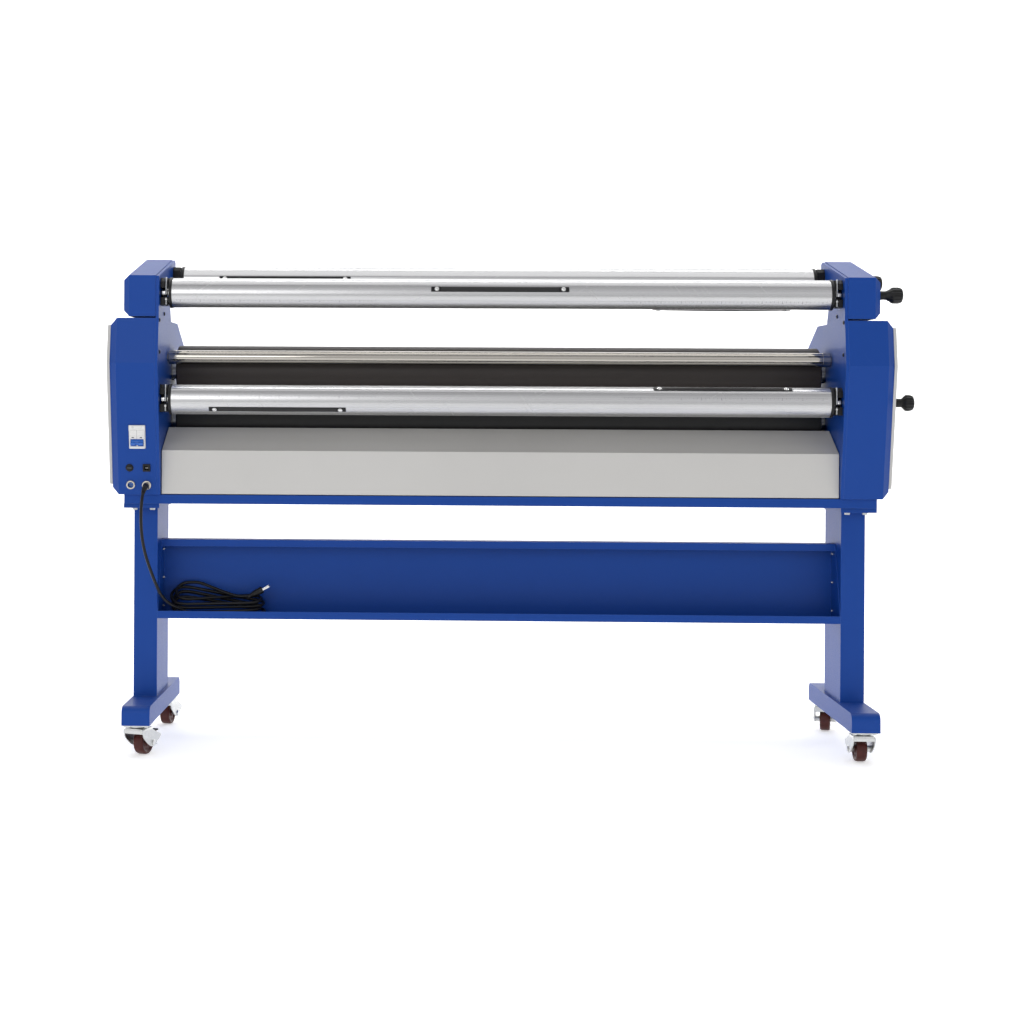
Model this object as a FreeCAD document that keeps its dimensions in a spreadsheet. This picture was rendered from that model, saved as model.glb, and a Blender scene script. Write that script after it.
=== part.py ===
import FreeCAD, Part
import math
import os
import re
import Sketcher

# Cold roll laminator, about 2 m wide, on a wheeled stand.
# Millimetres, +Z up. The take-up side, with the power inlet, faces -Y, the operator's feed
# side faces +Y. X runs along the rollers and is measured from the machine's middle plane,
# Y from the face of the top covers, Z from the floor. The last step of every placement
# moves the machine so that the middle of its outline stands on the origin.

Vector = FreeCAD.Vector
Rotation = FreeCAD.Rotation
Placement = FreeCAD.Placement

SIZES = {
    # from the machine's own planes to the origin
    "shiftX": -24.5,
    "shiftY": -236.5,
    # clearances and sheet
    "runGap": 0.05,
    "bodyGap": 0.3,
    # how far a cutting tool starts ahead of a face and ends behind it
    "cutAhead": 10,
    "cutBehind": 20,
    "sheet": 1.5,
    "foldSheet": 2,
    # outline of side plate and cabinet, in Y and Z
    "plateInner": 852,
    "plateThick": 8,
    "rearLowY": 38,
    "bottomZ": 646,
    "creaseY": -18,
    "creaseZ": 977,
    "cabinetTopZ": 1090,
    "coverFrontZ": 1195,
    "ridgeY": 268,
    "ridgeZ": 1256,
    "hornY": 281,
    "hornTopZ": 1250,
    "hornLowZ": 1165,
    "hornFootY": 225,
    "hornFootZ": 1143,
    "neckY": 186,
    "neckZ": 1135,
    "neckFootY": 206,
    "shoulderY": 320,
    "browY": 431,
    "browZ": 1040,
    "operatorY": 490,
    "operatorTopZ": 1010,
    # cabinets, covers and panels
    "cabinetDepth": 115,
    "cabinetChamfer": 18,
    "coverDepth": 82,
    "coverChamfer": 15,
    "coverLap": 1.5,
    "coverGap": 4,
    "panelThick": 8,
    "panelInset": 17,
    # rear panel
    "rearPanelHalf": 850,
    "rearPanelY": 47,
    "rearPanelLowZ": 648,
    "rearPanelFoldZ": 758,
    "rearPanelTopY": 162,
    "rearPanelTopZ": 815,
    # base pan
    "panHalf": 945,
    "panBackY": 450,
    "panDepth": 23,
    "panSheet": 3,
    # stand
    "legInner": 868,
    "legWide": 60,
    "legFrontY": 100,
    "legDeep": 183,
    "legWall": 3,
    "legPlateInner": 858,
    "legPlateWide": 90,
    "legPlateFrontY": 60,
    "legPlateBackY": 330,
    "legPlateThick": 12,
    "footInner": 859,
    "footWide": 70,
    "footFrontY": -67,
    "footLong": 506,
    "footLowZ": 81,
    "footTall": 47,
    "footWall": 4,
    "footRound": 18,
    "drainRadius": 6,
    # bolts
    "screwRadius": 5,
    "screwHead": 3,
    "hexRadius": 8,
    "hexTall": 6,
    "hexMiddleX": 900,
    "hexHalfPitch": 22,
    "hexFrontY": 78,
    "hexBackY": 308,
    "trayScrewY": 188,
    "trayScrewZ": 424,
    "trayScrewPitch": 74,
    # tray
    "trayFrontY": 99,
    "trayBackY": 205,
    "trayLowZ": 327,
    "trayTopZ": 525,
    "trayLipZ": 346,
    "trayFlangeY": 159,
    "trayFlangeDrop": 18,
    # feed table
    "tableHalf": 848,
    "tableBackY": 322,
    "tableFrontY": 540,
    "tableTopZ": 895,
    "tableNose": 30,
    "apronY": 480,
    # nip rollers
    "rollerY": 245,
    "lowerZ": 833,
    "upperZ": 963.7,
    "rollerHalf": 836,
    "rollerRadius": 65,
    "coreRadius": 57,
    "coreWall": 8,
    "coreEnd": 14,
    "rollerShaft": 22.5,
    "rollerBore": 5,
    "rollerEnd": 903,
    "rollerRound": 5,
    # brackets and lift
    "bracketThick": 30,
    "bracketHalf": 60,
    "bracketLowZ": 778,
    "bracketTopZ": 1046,
    "blockHalf": 40,
    "blockLowZ": 926,
    "blockTall": 75,
    "liftTravel": 25,
    "armThick": 11,
    "armEndY": 372,
    "camY": 350,
    "camZ": 870,
    "camRadius": 26,
    "camSweep": 270,
    "camDwell": 15,
    "camFlank": 43,
    "camThick": 9,
    "camFootHalf": 15,
    "camFootGap": 1,
    "camShaft": 10,
    # handwheel on the lift shaft
    "wheelHubX": 987,
    "wheelHubLong": 20,
    "wheelHubRadius": 16,
    "wheelRimRadius": 75,
    "wheelRimThick": 7,
    "wheelSpoke": 5,
    "gripRadius": 9,
    "gripEndX": 1030,
    # chrome guide bar
    "guideY": 153,
    "guideZ": 996,
    "guideRadius": 18,
    "guideHalf": 849,
    "guideStub": 10,
    # core shafts
    "tubeHalf": 822,
    "tubeRadius": 38,
    "tubeWall": 3,
    "hubThick": 7,
    "hubRadius": 38.5,
    "journalRadius": 12,
    "journalEnd": 850,
    "linerY": 42,
    "linerZ": 1155,
    "supplyY": 252,
    "supplyZ": 1199,
    "takeUpY": 38,
    "takeUpZ": 887,
    "stripLong": 343,
    "stripWide": 12,
    "stripLow": 34,
    "stripHigh": 40.5,
    "stripPitch": 555,
    "stripScrewInset": 14,
    "stripScrewRadius": 5.5,
    "stripScrewHigh": 43,
    "slotGap": 1,
    # seats of the core shafts
    "seatInner": 832,
    "seatFront": 22,
    "seatBack": 28,
    "seatLow": 32,
    "seatHigh": 37,
    "seatArch": 20,
    "latchNear": 835,
    "latchThick": 5,
    "latchDeep": 6,
    "latchFront": 20,
    "latchDrop": 17,
    "latchTail": 13,
    "latchTop": 38,
    "latchPlay": 0.5,
    "latchPin": 3,
    # tension knobs
    "spindleRadius": 6,
    "spindleHole": 7,
    "spindleStart": 853,
    "knobNeck": 11.5,
    "knobRadius": 20.5,
    "knobNeckLong": 20,
    "knobLong": 49,
    "coverKnobX": 943,
    "coverKnobLong": 61,
    # drive
    "chainPitch": 12.7,
    "rollerTeeth": 18,
    "motorTeeth": 12,
    "toothTall": 4,
    "chainThick": 7,
    "chainInner": 893,
    "chainWide": 6,
    "motorZ": 700,
    "gearboxInner": 905,
    "gearboxWide": 50,
    "gearboxHalf": 40,
    "motorRadius": 33.6,
    "motorEndY": 440,
    "motorFootEndY": 380,
    "motorShaft": 8,
    # fittings on the leaning rear face of the left cabinet
    "breakerX": -907,
    "breakerZ": 792,
    "breakerWide": 42,
    "breakerTall": 60,
    "breakerProud": 6,
    "breakerDeep": 50,
    "togglePlay": 3,
    "toggleSwing": 5,
    "toggleUp": 2,
    "togglePocket": 32,
    "toggleLow": -14,
    "toggleRadius": 8,
    "toggleLever": 16,
    "fuseX": -928,
    "fuseZ": 714,
    "fuseRadius": 8,
    "socketX": -885,
    "socketZ": 714,
    "socketWide": 19,
    "connectorX": -926,
    "connectorZ": 671,
    "connectorRadius": 10,
    "glandX": -886,
    "glandZ": 670,
    "glandRadius": 12.5,
    "glandNut": 9,
    "glandReach": 18,
    "fittingProud": 4,
    "fittingDeep": 24,
    "fittingPlay": 0.2,
    "socketPocket": 10,
    "socketPocketDeep": 8,
    "connectorPocket": 7,
    # controls on the operator's face of the left cabinet
    "controlX": -917,
    "stopZ": 940,
    "speedZ": 860,
    "controlWide": 74,
    "controlLowZ": 815,
    "controlTopZ": 985,
    "controlThick": 2,
    "stopRadius": 20,
    "stopTall": 12,
    "stopTravel": 4,
    "stopStem": 8,
    "stopRound": 5,
    "collarTall": 8,
    "stemLong": 14,
    "speedRadius": 15,
    "speedTall": 16,
    "speedMark": 1,
    # cord
    "cordRadius": 4,
    "hankLowX": -852,
    "hankHighX": -588,
    "hankFrontY": 128,
    "hankBackY": 201,
    "hankTopZ": 402,
    "hankTopY": 178,
    "hankFrontDrop": 40,
    "hankRound": 8,
    "plugRadius": 11,
    "plugLong": 32,
    "plugTilt": 28,
    "plugX": -632,
    "plugY": 158,
    "plugZ": 378,
    "bladeLong": 19,
    "bladeWide": 6,
    "bladeThick": 1.6,
    "bladeApart": 12,
    # casters, in their own frame: origin on the floor under the swivel, +Y the way they trail
    "casterInset": 40,
    "casterPlate": 66,
    "casterPlateThick": 4,
    "raceRadius": 24,
    "raceTall": 5,
    "crownTall": 7,
    "crownHalf": 28,
    "crownAhead": 24,
    "crownBehind": 26,
    "forkPlate": 3,
    "trail": 28,
    "wheelRadius": 31,
    "wheelWide": 28,
    "wheelRound": 5,
    "axleRadius": 5,
    "nutRadius": 8,
    "nutThick": 3,
    "pedalPivotY": 62,
    "pedalPivotZ": 44,
    "pedalPin": 2,
    "pedalHub": 4.5,
    "pedalHalf": 12,
    "pedalLong": 28,
    "pedalRise": 7,
    "pedalThick": 3,
    "tabLong": 16,
    "tabDrop": 25,
}

SIDES = {"left": -1, "right": 1}
# swing of each caster's trail from straight back towards +X, in degrees
CASTER_SWINGS = {
    "left_rear": 20,
    "left_front": 10,
    "right_rear": 0,
    "right_front": 15,
}
BRAKED = ("left_rear", "right_front")

doc = FreeCAD.newDocument("Laminator")
sheet = doc.addObject("Spreadsheet::Sheet", "Sizes")
for row, (alias, value) in enumerate(SIZES.items(), 1):
    sheet.set(f"A{row}", alias)
    sheet.set(f"B{row}", str(value))
    sheet.setAlias(f"B{row}", alias)
doc.recompute()

nodes = {}


# ---------------------------------------------------------------- expressions and placement

def bound(text):
    """The expression with each size's name turned into a reference to its cell."""
    return re.sub(r"[A-Za-z_]\w*", lambda m: "Sizes." + m[0] if m[0] in SIZES else m[0], text)


def number(text):
    return float(sheet.evalExpression(bound(text)))


def bind(item, prop, text):
    item.setExpression(prop, bound(text))


def place(item, x="0", y="0", z="0", turn=None):
    """Put a sub-part, drawn in the machine's or its own frame, where it belongs."""
    item.Placement = Placement(Vector(), turn or Rotation())
    bind(item, "Placement.Base.x", f"shiftX + ({x})")
    bind(item, "Placement.Base.y", f"shiftY + ({y})")
    bind(item, "Placement.Base.z", z)
    return item


def shift(item, x="0", y="0", z="0", turn=None):
    """Move a piece of a sub-part inside the sub-part's own frame."""
    item.Placement = Placement(Vector(), turn or Rotation())
    for axis, text in zip("xyz", (x, y, z)):
        bind(item, f"Placement.Base.{axis}", text)
    return item


def span(side, inner, outer):
    """Low and high X of something lying between two distances from the middle plane."""
    return (inner, outer) if side > 0 else (f"-({outer})", f"-({inner})")


def node(item, label):
    item.Label = label
    nodes[label] = item
    return item


# ---------------------------------------------------------------- primitives and booleans

ALONG = {
    "x": Rotation(Vector(0, 0, 1), Vector(1, 0, 0)),
    "y": Rotation(Vector(0, 0, 1), Vector(0, 1, 0)),
    "z": Rotation(),
}


def block(x, y, z):
    """A box from three (low, high) pairs of expressions."""
    item = doc.addObject("Part::Box", "Block")
    for prop, (low, high) in zip(("Length", "Width", "Height"), (x, y, z)):
        bind(item, prop, f"({high}) - ({low})")
    return shift(item, x[0], y[0], z[0])


def rod(along, radius, length, x="0", y="0", z="0"):
    """A cylinder that starts at a point and runs in the + direction of one axis."""
    item = doc.addObject("Part::Cylinder", "Rod")
    bind(item, "Radius", radius)
    bind(item, "Height", length)
    return shift(item, x, y, z, ALONG[along])


def hexagon(radius, length, x, y, z):
    item = doc.addObject("Part::Prism", "Hexagon")
    item.Polygon = 6
    bind(item, "Circumradius", radius)
    bind(item, "Height", length)
    return shift(item, x, y, z)


def fuse(*items):
    item = doc.addObject("Part::MultiFuse", "Fused")
    item.Shapes = list(items)
    return item


def cut(base, *tools):
    item = doc.addObject("Part::Cut", "Cut")
    item.Base = base
    item.Tool = tools[0] if len(tools) == 1 else fuse(*tools)
    return item


def filleted(base, radius, test):
    """A primitive with those of its edges rounded that pass the test."""
    doc.recompute()
    item = doc.addObject("Part::Fillet", "Rounded")
    item.Base = base
    size = number(radius)
    item.Edges = [(index, size, size) for index, edge in enumerate(base.Shape.Edges, 1) if test(edge)]
    return item


def together(*items):
    """Several separate solids that share one node."""
    item = doc.addObject("Part::Compound", "Group")
    item.Links = list(items)
    return item


# ---------------------------------------------------------------- sketched bodies

def origin_plane(body, role):
    return next(item for item in body.Origin.OriginFeatures if item.Role == role)


def draw_loop(sketch, points):
    """A closed polygon whose corners are held by bound distances from the origin."""
    first = sketch.GeometryCount
    count = len(points)
    corners = [Vector(number(u), number(v), 0) for u, v in points]
    for index in range(count):
        sketch.addGeometry(Part.LineSegment(corners[index], corners[(index + 1) % count]), False)
    for index in range(count):
        following = first + (index + 1) % count
        sketch.addConstraint(Sketcher.Constraint("Coincident", first + index, 2, following, 1))
    for index, (texts, corner) in enumerate(zip(points, corners)):
        for letter, text, value in zip("XY", texts, (corner.x, corner.y)):
            held = Sketcher.Constraint("Distance" + letter, -1, 1, first + index, 1, value)
            name = f"corner{first + index}{letter}"
            sketch.renameConstraint(sketch.addConstraint(held), name)
            bind(sketch, f"Constraints.{name}", text)


def draw_circle(sketch, u, v, radius):
    centre = Vector(number(u), number(v), 0)
    index = sketch.addGeometry(Part.Circle(centre, Vector(0, 0, 1), number(radius)), False)
    for letter, text, value in zip("XY", (u, v), (centre.x, centre.y)):
        held = Sketcher.Constraint("Distance" + letter, -1, 1, index, 3, value)
        name = f"centre{index}{letter}"
        sketch.renameConstraint(sketch.addConstraint(held), name)
        bind(sketch, f"Constraints.{name}", text)
    held = sketch.addConstraint(Sketcher.Constraint("Radius", index, number(radius)))
    sketch.renameConstraint(held, f"radius{index}")
    bind(sketch, f"Constraints.radius{index}", radius)


def drawn_body(name, role, loops, circles=()):
    """A body with one sketch of polygons and circles on one of its origin planes."""
    body = doc.addObject("PartDesign::Body", name)
    sketch = body.newObject("Sketcher::SketchObject", name + "Outline")
    sketch.AttachmentSupport = [(origin_plane(body, role), "")]
    sketch.MapMode = "FlatFace"
    for points in loops:
        draw_loop(sketch, points)
    for circle in circles:
        draw_circle(sketch, *circle)
    return body, sketch


def side_body(name, x_low, thick, outline, cutouts=(), circles=()):
    """A flat piece: an outline in Y and Z, given a thickness from x_low towards +X."""
    body, sketch = drawn_body(name, "YZ_Plane", [outline, *cutouts], circles)
    pad = body.newObject("PartDesign::Pad", name + "Pad")
    pad.Profile = sketch
    bind(pad, "Length", thick)
    place(body, x_low)
    doc.recompute()
    return body


def turned_body(name, outline):
    """A solid of revolution about the X axis: the outline gives X and radius."""
    body, sketch = drawn_body(name, "XZ_Plane", [outline])
    turned = body.newObject("PartDesign::Revolution", name + "Turned")
    turned.Profile = sketch
    turned.ReferenceAxis = (sketch, ["H_Axis"])
    turned.Angle = 360
    doc.recompute()
    return body


def dress(body, kind, prop, size, test, faces=False):
    """Fillet, chamfer or hollow the body at the edges or faces that pass the test."""
    last = body.Tip
    pieces = last.Shape.Faces if faces else last.Shape.Edges
    word = "Face" if faces else "Edge"
    chosen = [f"{word}{index}" for index, piece in enumerate(pieces, 1) if test(piece)]
    feature = body.newObject("PartDesign::" + kind, body.Name + kind)
    feature.Base = (last, chosen)
    bind(feature, prop, size)
    return feature


def lies_at(piece, axis, value):
    """Whether an edge or face lies in the plane where one coordinate has a value."""
    box = piece.BoundBox
    low = getattr(box, axis + "Min")
    high = getattr(box, axis + "Max")
    return abs(low - value) < 1e-4 and abs(high - value) < 1e-4


def folded_shell(name, side, inner, depth, chamfer, outline):
    """A folded sheet case, open towards the side plate, with its outer edges chamfered."""
    body = side_body(name, span(side, inner, f"{inner} + {depth}")[0], depth, outline)
    outer_x = number(depth) if side > 0 else 0
    inner_x = number(depth) - outer_x
    dress(body, "Chamfer", "Size", chamfer, lambda edge: lies_at(edge, "X", outer_x))
    doc.recompute()
    hollow = dress(body, "Thickness", "Value", "sheet",
                   lambda face: lies_at(face, "X", inner_x), faces=True)
    hollow.Reversed = True
    hollow.Join = "Intersection"
    doc.recompute()
    return body


# ---------------------------------------------------------------- side frames and covers

CABINET_OUTLINE = [
    ("rearLowY", "bottomZ"),
    ("creaseY", "creaseZ"),
    ("0", "cabinetTopZ"),
    ("shoulderY", "cabinetTopZ"),
    ("browY", "browZ"),
    ("operatorY", "operatorTopZ"),
    ("operatorY", "bottomZ"),
]
PLATE_OUTLINE = [
    ("rearLowY", "bottomZ"),
    ("creaseY", "creaseZ"),
    ("0", "cabinetTopZ"),
    ("0", "coverFrontZ"),
    ("ridgeY", "ridgeZ"),
    ("hornY", "hornTopZ"),
    ("hornY", "hornLowZ"),
    ("hornFootY", "hornFootZ"),
    ("neckY", "neckZ"),
    ("neckFootY", "cabinetTopZ"),
    ("shoulderY", "cabinetTopZ"),
    ("browY", "browZ"),
    ("operatorY", "operatorTopZ"),
    ("operatorY", "bottomZ"),
]
COVER_OUTLINE = [
    ("-coverLap", "cabinetTopZ + coverGap"),
    ("-coverLap", "coverFrontZ + coverLap"),
    ("ridgeY", "ridgeZ + coverLap"),
    ("hornY + coverLap", "hornTopZ + coverLap"),
    ("hornY + coverLap", "hornLowZ - coverLap"),
    ("hornFootY", "hornFootZ - coverLap"),
    ("neckY + coverLap", "neckZ - coverLap"),
    ("neckFootY", "cabinetTopZ + coverGap"),
]
PANEL_OUTLINE = [
    ("rearLowY + panelInset", "bottomZ + panelInset * 1.5"),
    ("creaseY + panelInset", "creaseZ"),
    ("panelInset", "cabinetTopZ - panelInset"),
    ("shoulderY - panelInset / 3", "cabinetTopZ - panelInset"),
    ("browY - panelInset / 2", "browZ - panelInset"),
    ("operatorY - panelInset", "operatorTopZ - panelInset / 2"),
    ("operatorY - panelInset", "bottomZ + panelInset * 1.5"),
]
SHAFTS = {
    "liner": ("linerY", "linerZ"),
    "supply": ("supplyY", "supplyZ"),
    "take_up": ("takeUpY", "takeUpZ"),
}


def side_plates():
    slot = [
        ("rollerY - rollerShaft - 2", "upperZ - rollerShaft - 3"),
        ("rollerY + rollerShaft + 2", "upperZ - rollerShaft - 3"),
        ("rollerY + rollerShaft + 2", "upperZ + rollerShaft + liftTravel + 3"),
        ("rollerY - rollerShaft - 2", "upperZ + rollerShaft + liftTravel + 3"),
    ]
    shared = [
        ("rollerY", "lowerZ", "rollerShaft + 1.5"),
        ("guideY", "guideZ", "guideStub + runGap"),
        ("camY", "camZ", "camShaft + runGap"),
    ]
    spindles = [(y, z, "spindleHole") for y, z in SHAFTS.values()]
    for word, side in SIDES.items():
        circles = shared + spindles if side > 0 else shared
        low = span(side, "plateInner", "plateInner + plateThick")[0]
        plate = side_body(word + "Plate", low, "plateThick", PLATE_OUTLINE, [slot], circles)
        node(plate, word + "_side_plate")


def rear_face(item, x, z):
    """Place a fitting, drawn with -Y outwards, square on the leaning rear face."""
    lean = math.atan2(number("rearLowY - creaseY"), number("creaseZ - bottomZ"))
    y = f"rearLowY - (({z}) - bottomZ) * (rearLowY - creaseY) / (creaseZ - bottomZ)"
    return place(item, x, y, z, Rotation(Vector(1, 0, 0), math.degrees(lean)))


def window(wide, tall):
    """A box that cuts along Y, centred on its own frame."""
    return together(block((f"-({wide}) / 2", f"({wide}) / 2"), ("-cutAhead", "cutBehind"),
                          (f"-({tall}) / 2", f"({tall}) / 2")))


def drill(along, radius):
    """A round tool that cuts along one axis, through its own frame's origin."""
    start = {axis: "-cutAhead" if axis == along else "0" for axis in "xyz"}
    return together(rod(along, radius, "cutAhead + cutBehind", **start))


def cabinets():
    for word, side in SIDES.items():
        shell = folded_shell(word + "Cabinet", side, "plateInner + plateThick", "cabinetDepth",
                             "cabinetChamfer", CABINET_OUTLINE)
        if side < 0:
            openings = [
                rear_face(window("breakerWide", "breakerTall"), "breakerX", "breakerZ"),
                rear_face(window("socketWide", "socketWide"), "socketX", "socketZ"),
                rear_face(drill("y", "fuseRadius"), "fuseX", "fuseZ"),
                rear_face(drill("y", "connectorRadius"), "connectorX", "connectorZ"),
                rear_face(drill("y", "glandNut"), "glandX", "glandZ"),
                place(drill("y", "stopStem + 2"), "controlX", "operatorY", "stopZ"),
                place(drill("y", "stopStem"), "controlX", "operatorY", "speedZ"),
            ]
        else:
            openings = [
                place(drill("x", "spindleHole + 2"), "plateInner + cabinetDepth",
                      "takeUpY", "takeUpZ"),
                place(drill("x", "camShaft + 2"), "plateInner + cabinetDepth", "camY", "camZ"),
            ]
        node(cut(shell, *openings), word + "_cabinet")


def top_covers():
    for word, side in SIDES.items():
        inner = "plateInner + plateThick"
        shell = folded_shell(word + "Cover", side, inner, "coverDepth", "coverChamfer",
                             COVER_OUTLINE)
        if side > 0:
            holes = [place(drill("x", "spindleHole + 2"), f"{inner} + coverDepth", *SHAFTS[shaft])
                     for shaft in ("liner", "supply")]
            shell = cut(shell, *holes)
        node(shell, word + "_top_cover")


def outer_panels():
    inner = "plateInner + plateThick + cabinetDepth"
    panels = []
    for word, side in SIDES.items():
        circles = []
        if side > 0:
            circles = [("takeUpY", "takeUpZ", "spindleHole + 2"), ("camY", "camZ", "camShaft + 2")]
        low = span(side, inner, f"{inner} + panelThick")[0]
        panels.append(side_body(word + "Panel", low, "panelThick", PANEL_OUTLINE, (), circles))
    node(together(*panels), "outer_panels")


# ---------------------------------------------------------------- folded sheets between the sides

def long_body(name, half, outline):
    return side_body(name, f"-({half})", f"2 * ({half})", outline)


def rear_panel():
    outline = [
        ("rearPanelY", "rearPanelLowZ"),
        ("rearPanelY", "rearPanelFoldZ"),
        ("rearPanelTopY", "rearPanelTopZ"),
        ("rearPanelTopY + sheet", "rearPanelTopZ - sheet"),
        ("rearPanelY + sheet", "rearPanelFoldZ - sheet / 2"),
        ("rearPanelY + sheet", "rearPanelLowZ"),
    ]
    node(long_body("RearPanel", "rearPanelHalf", outline), "rear_panel")


def base_pan():
    outline = [
        ("rearPanelY", "bottomZ - panDepth"),
        ("rearPanelY", "bottomZ"),
        ("panBackY", "bottomZ"),
        ("panBackY", "bottomZ - panDepth"),
        ("panBackY - panSheet", "bottomZ - panDepth"),
        ("panBackY - panSheet", "bottomZ - panSheet"),
        ("rearPanelY + panSheet", "bottomZ - panSheet"),
        ("rearPanelY + panSheet", "bottomZ - panDepth"),
    ]
    node(long_body("BasePan", "panHalf", outline), "base_pan")


def tray():
    trough = [
        ("trayFrontY", "trayLowZ"),
        ("trayBackY", "trayLowZ"),
        ("trayBackY", "trayTopZ"),
        ("trayFlangeY", "trayTopZ"),
        ("trayFlangeY", "trayTopZ - trayFlangeDrop"),
        ("trayFlangeY + foldSheet", "trayTopZ - trayFlangeDrop"),
        ("trayFlangeY + foldSheet", "trayTopZ - foldSheet"),
        ("trayBackY - foldSheet", "trayTopZ - foldSheet"),
        ("trayBackY - foldSheet", "trayLowZ + foldSheet"),
        ("trayFrontY + foldSheet", "trayLowZ + foldSheet"),
        ("trayFrontY + foldSheet", "trayLipZ"),
        ("trayFrontY", "trayLipZ"),
    ]
    end = [
        ("trayFrontY", "trayLowZ"),
        ("trayBackY", "trayLowZ"),
        ("trayBackY", "trayTopZ"),
        ("trayFlangeY", "trayTopZ"),
        ("trayFrontY", "trayLipZ"),
    ]
    pieces = [long_body("Trough", "legInner - foldSheet", trough)]
    for word, side in SIDES.items():
        low = span(side, "legInner - foldSheet", "legInner")[0]
        pieces.append(side_body(word + "TrayEnd", low, "foldSheet", end))
    node(fuse(*pieces), "tray")


def feed_table():
    outline = [
        ("tableBackY", "tableTopZ"),
        ("tableFrontY", "tableTopZ"),
        ("tableFrontY", "tableTopZ - tableNose"),
        ("apronY", "tableTopZ - tableNose"),
        ("apronY", "rearPanelLowZ"),
        ("apronY - foldSheet", "rearPanelLowZ"),
        ("apronY - foldSheet", "tableTopZ - tableNose + foldSheet"),
        ("tableFrontY - foldSheet", "tableTopZ - tableNose + foldSheet"),
        ("tableFrontY - foldSheet", "tableTopZ - foldSheet"),
        ("tableBackY", "tableTopZ - foldSheet"),
    ]
    node(long_body("FeedTable", "tableHalf", outline), "feed_table")


# ---------------------------------------------------------------- stand

def legs():
    """Each leg: a box tube welded to a bolting plate above and a cross foot below."""
    foot_top = "footLowZ + footTall"
    leg_top = "bottomZ - panDepth - legPlateThick"
    for word, side in SIDES.items():
        leg_x = span(side, "legInner", "legInner + legWide")
        foot_x = span(side, "footInner", "footInner + footWide")
        plate_x = span(side, "legPlateInner", "legPlateInner + legPlateWide")
        foot_y = ("footFrontY", "footFrontY + footLong")
        foot = block(foot_x, foot_y, ("footLowZ", foot_top))
        tube = block(leg_x, ("legFrontY", "legFrontY + legDeep"), (foot_top, leg_top))
        plate = block(plate_x, ("legPlateFrontY", "legPlateBackY"),
                      (leg_top, f"{leg_top} + legPlateThick"))
        top = number(foot_top)
        rounded = filleted(foot, "footRound", lambda edge: (
            edge.BoundBox.XLength > 1 and lies_at(edge, "Z", top)))
        inside_leg = block((f"{leg_x[0]} + legWall", f"{leg_x[1]} - legWall"),
                           ("legFrontY + legWall", "legFrontY + legDeep - legWall"),
                           (f"{foot_top} - 2 * footWall", leg_top))
        inside_foot = block((f"{foot_x[0]} + footWall", f"{foot_x[1]} - footWall"),
                            ("footFrontY + footRound", "footFrontY + footLong - footRound"),
                            ("footLowZ + footWall", f"{foot_top} - footWall"))
        drain = rod("z", "drainRadius", "2 * footWall", f"({foot_x[0]} + {foot_x[1]}) / 2",
                    "legFrontY + legDeep / 2", "footLowZ - footWall / 2")
        leg = cut(fuse(rounded, tube, plate), inside_leg, inside_foot, drain)
        node(place(leg), word + "_leg")


# Y and Z of the cover screws on each side plate
PLATE_SCREWS = (("10", "1085"), ("12", "1005"), ("85", "1104"))


def frame_bolts():
    """Screw heads of the tray, hexagon heads under the pan, and the plates' cover screws."""
    heads = []
    under_plate = "bottomZ - panDepth - legPlateThick - hexTall"
    for side in SIDES.values():
        tray_x = span(side, "legInner - foldSheet - screwHead", "legInner - foldSheet")
        for step in (-1, 0, 1):
            heads.append(rod("x", "screwRadius", "screwHead", tray_x[0], "trayScrewY",
                             f"trayScrewZ + {step} * trayScrewPitch"))
        plate_x = span(side, "plateInner - screwHead", "plateInner")
        for y, z in PLATE_SCREWS:
            heads.append(rod("x", "screwRadius", "screwHead", plate_x[0], y, z))
        for step in (-1, 1):
            for y in ("hexFrontY", "hexBackY"):
                heads.append(hexagon("hexRadius", "hexTall",
                                     f"{side} * hexMiddleX + {step} * hexHalfPitch", y, under_plate))
    node(place(together(*heads)), "frame_bolts")


# ---------------------------------------------------------------- nip rollers, lift and drive

# one tooth and the gap after it, as shares of the tooth pitch: root, tip, tip, root
TOOTH = (-0.45, -0.15, 0.15, 0.45)


def pitch_radius(teeth):
    return number("chainPitch") / (2 * math.sin(math.pi / teeth))


def sprocket(teeth):
    """A toothed disc about the X axis inside the chain, with its tips just clear of it."""
    tip = pitch_radius(teeth) - number("bodyGap") * 2
    root = tip - number("toothTall")
    low = -number("chainInner + chainWide")
    corners = []
    for index in range(teeth):
        for part, radius in zip(TOOTH, (root, tip, tip, root)):
            angle = 2 * math.pi * (index + part) / teeth
            corners.append(Vector(low, radius * math.cos(angle), radius * math.sin(angle)))
    face = Part.Face(Part.makePolygon(corners + corners[:1]))
    return face.extrude(Vector(number("chainWide"), 0, 0))


def made(shape, name):
    """A feature for a shape that has no parametric form of its own."""
    item = doc.addObject("Part::Feature", name)
    item.Shape = shape
    return item


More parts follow.
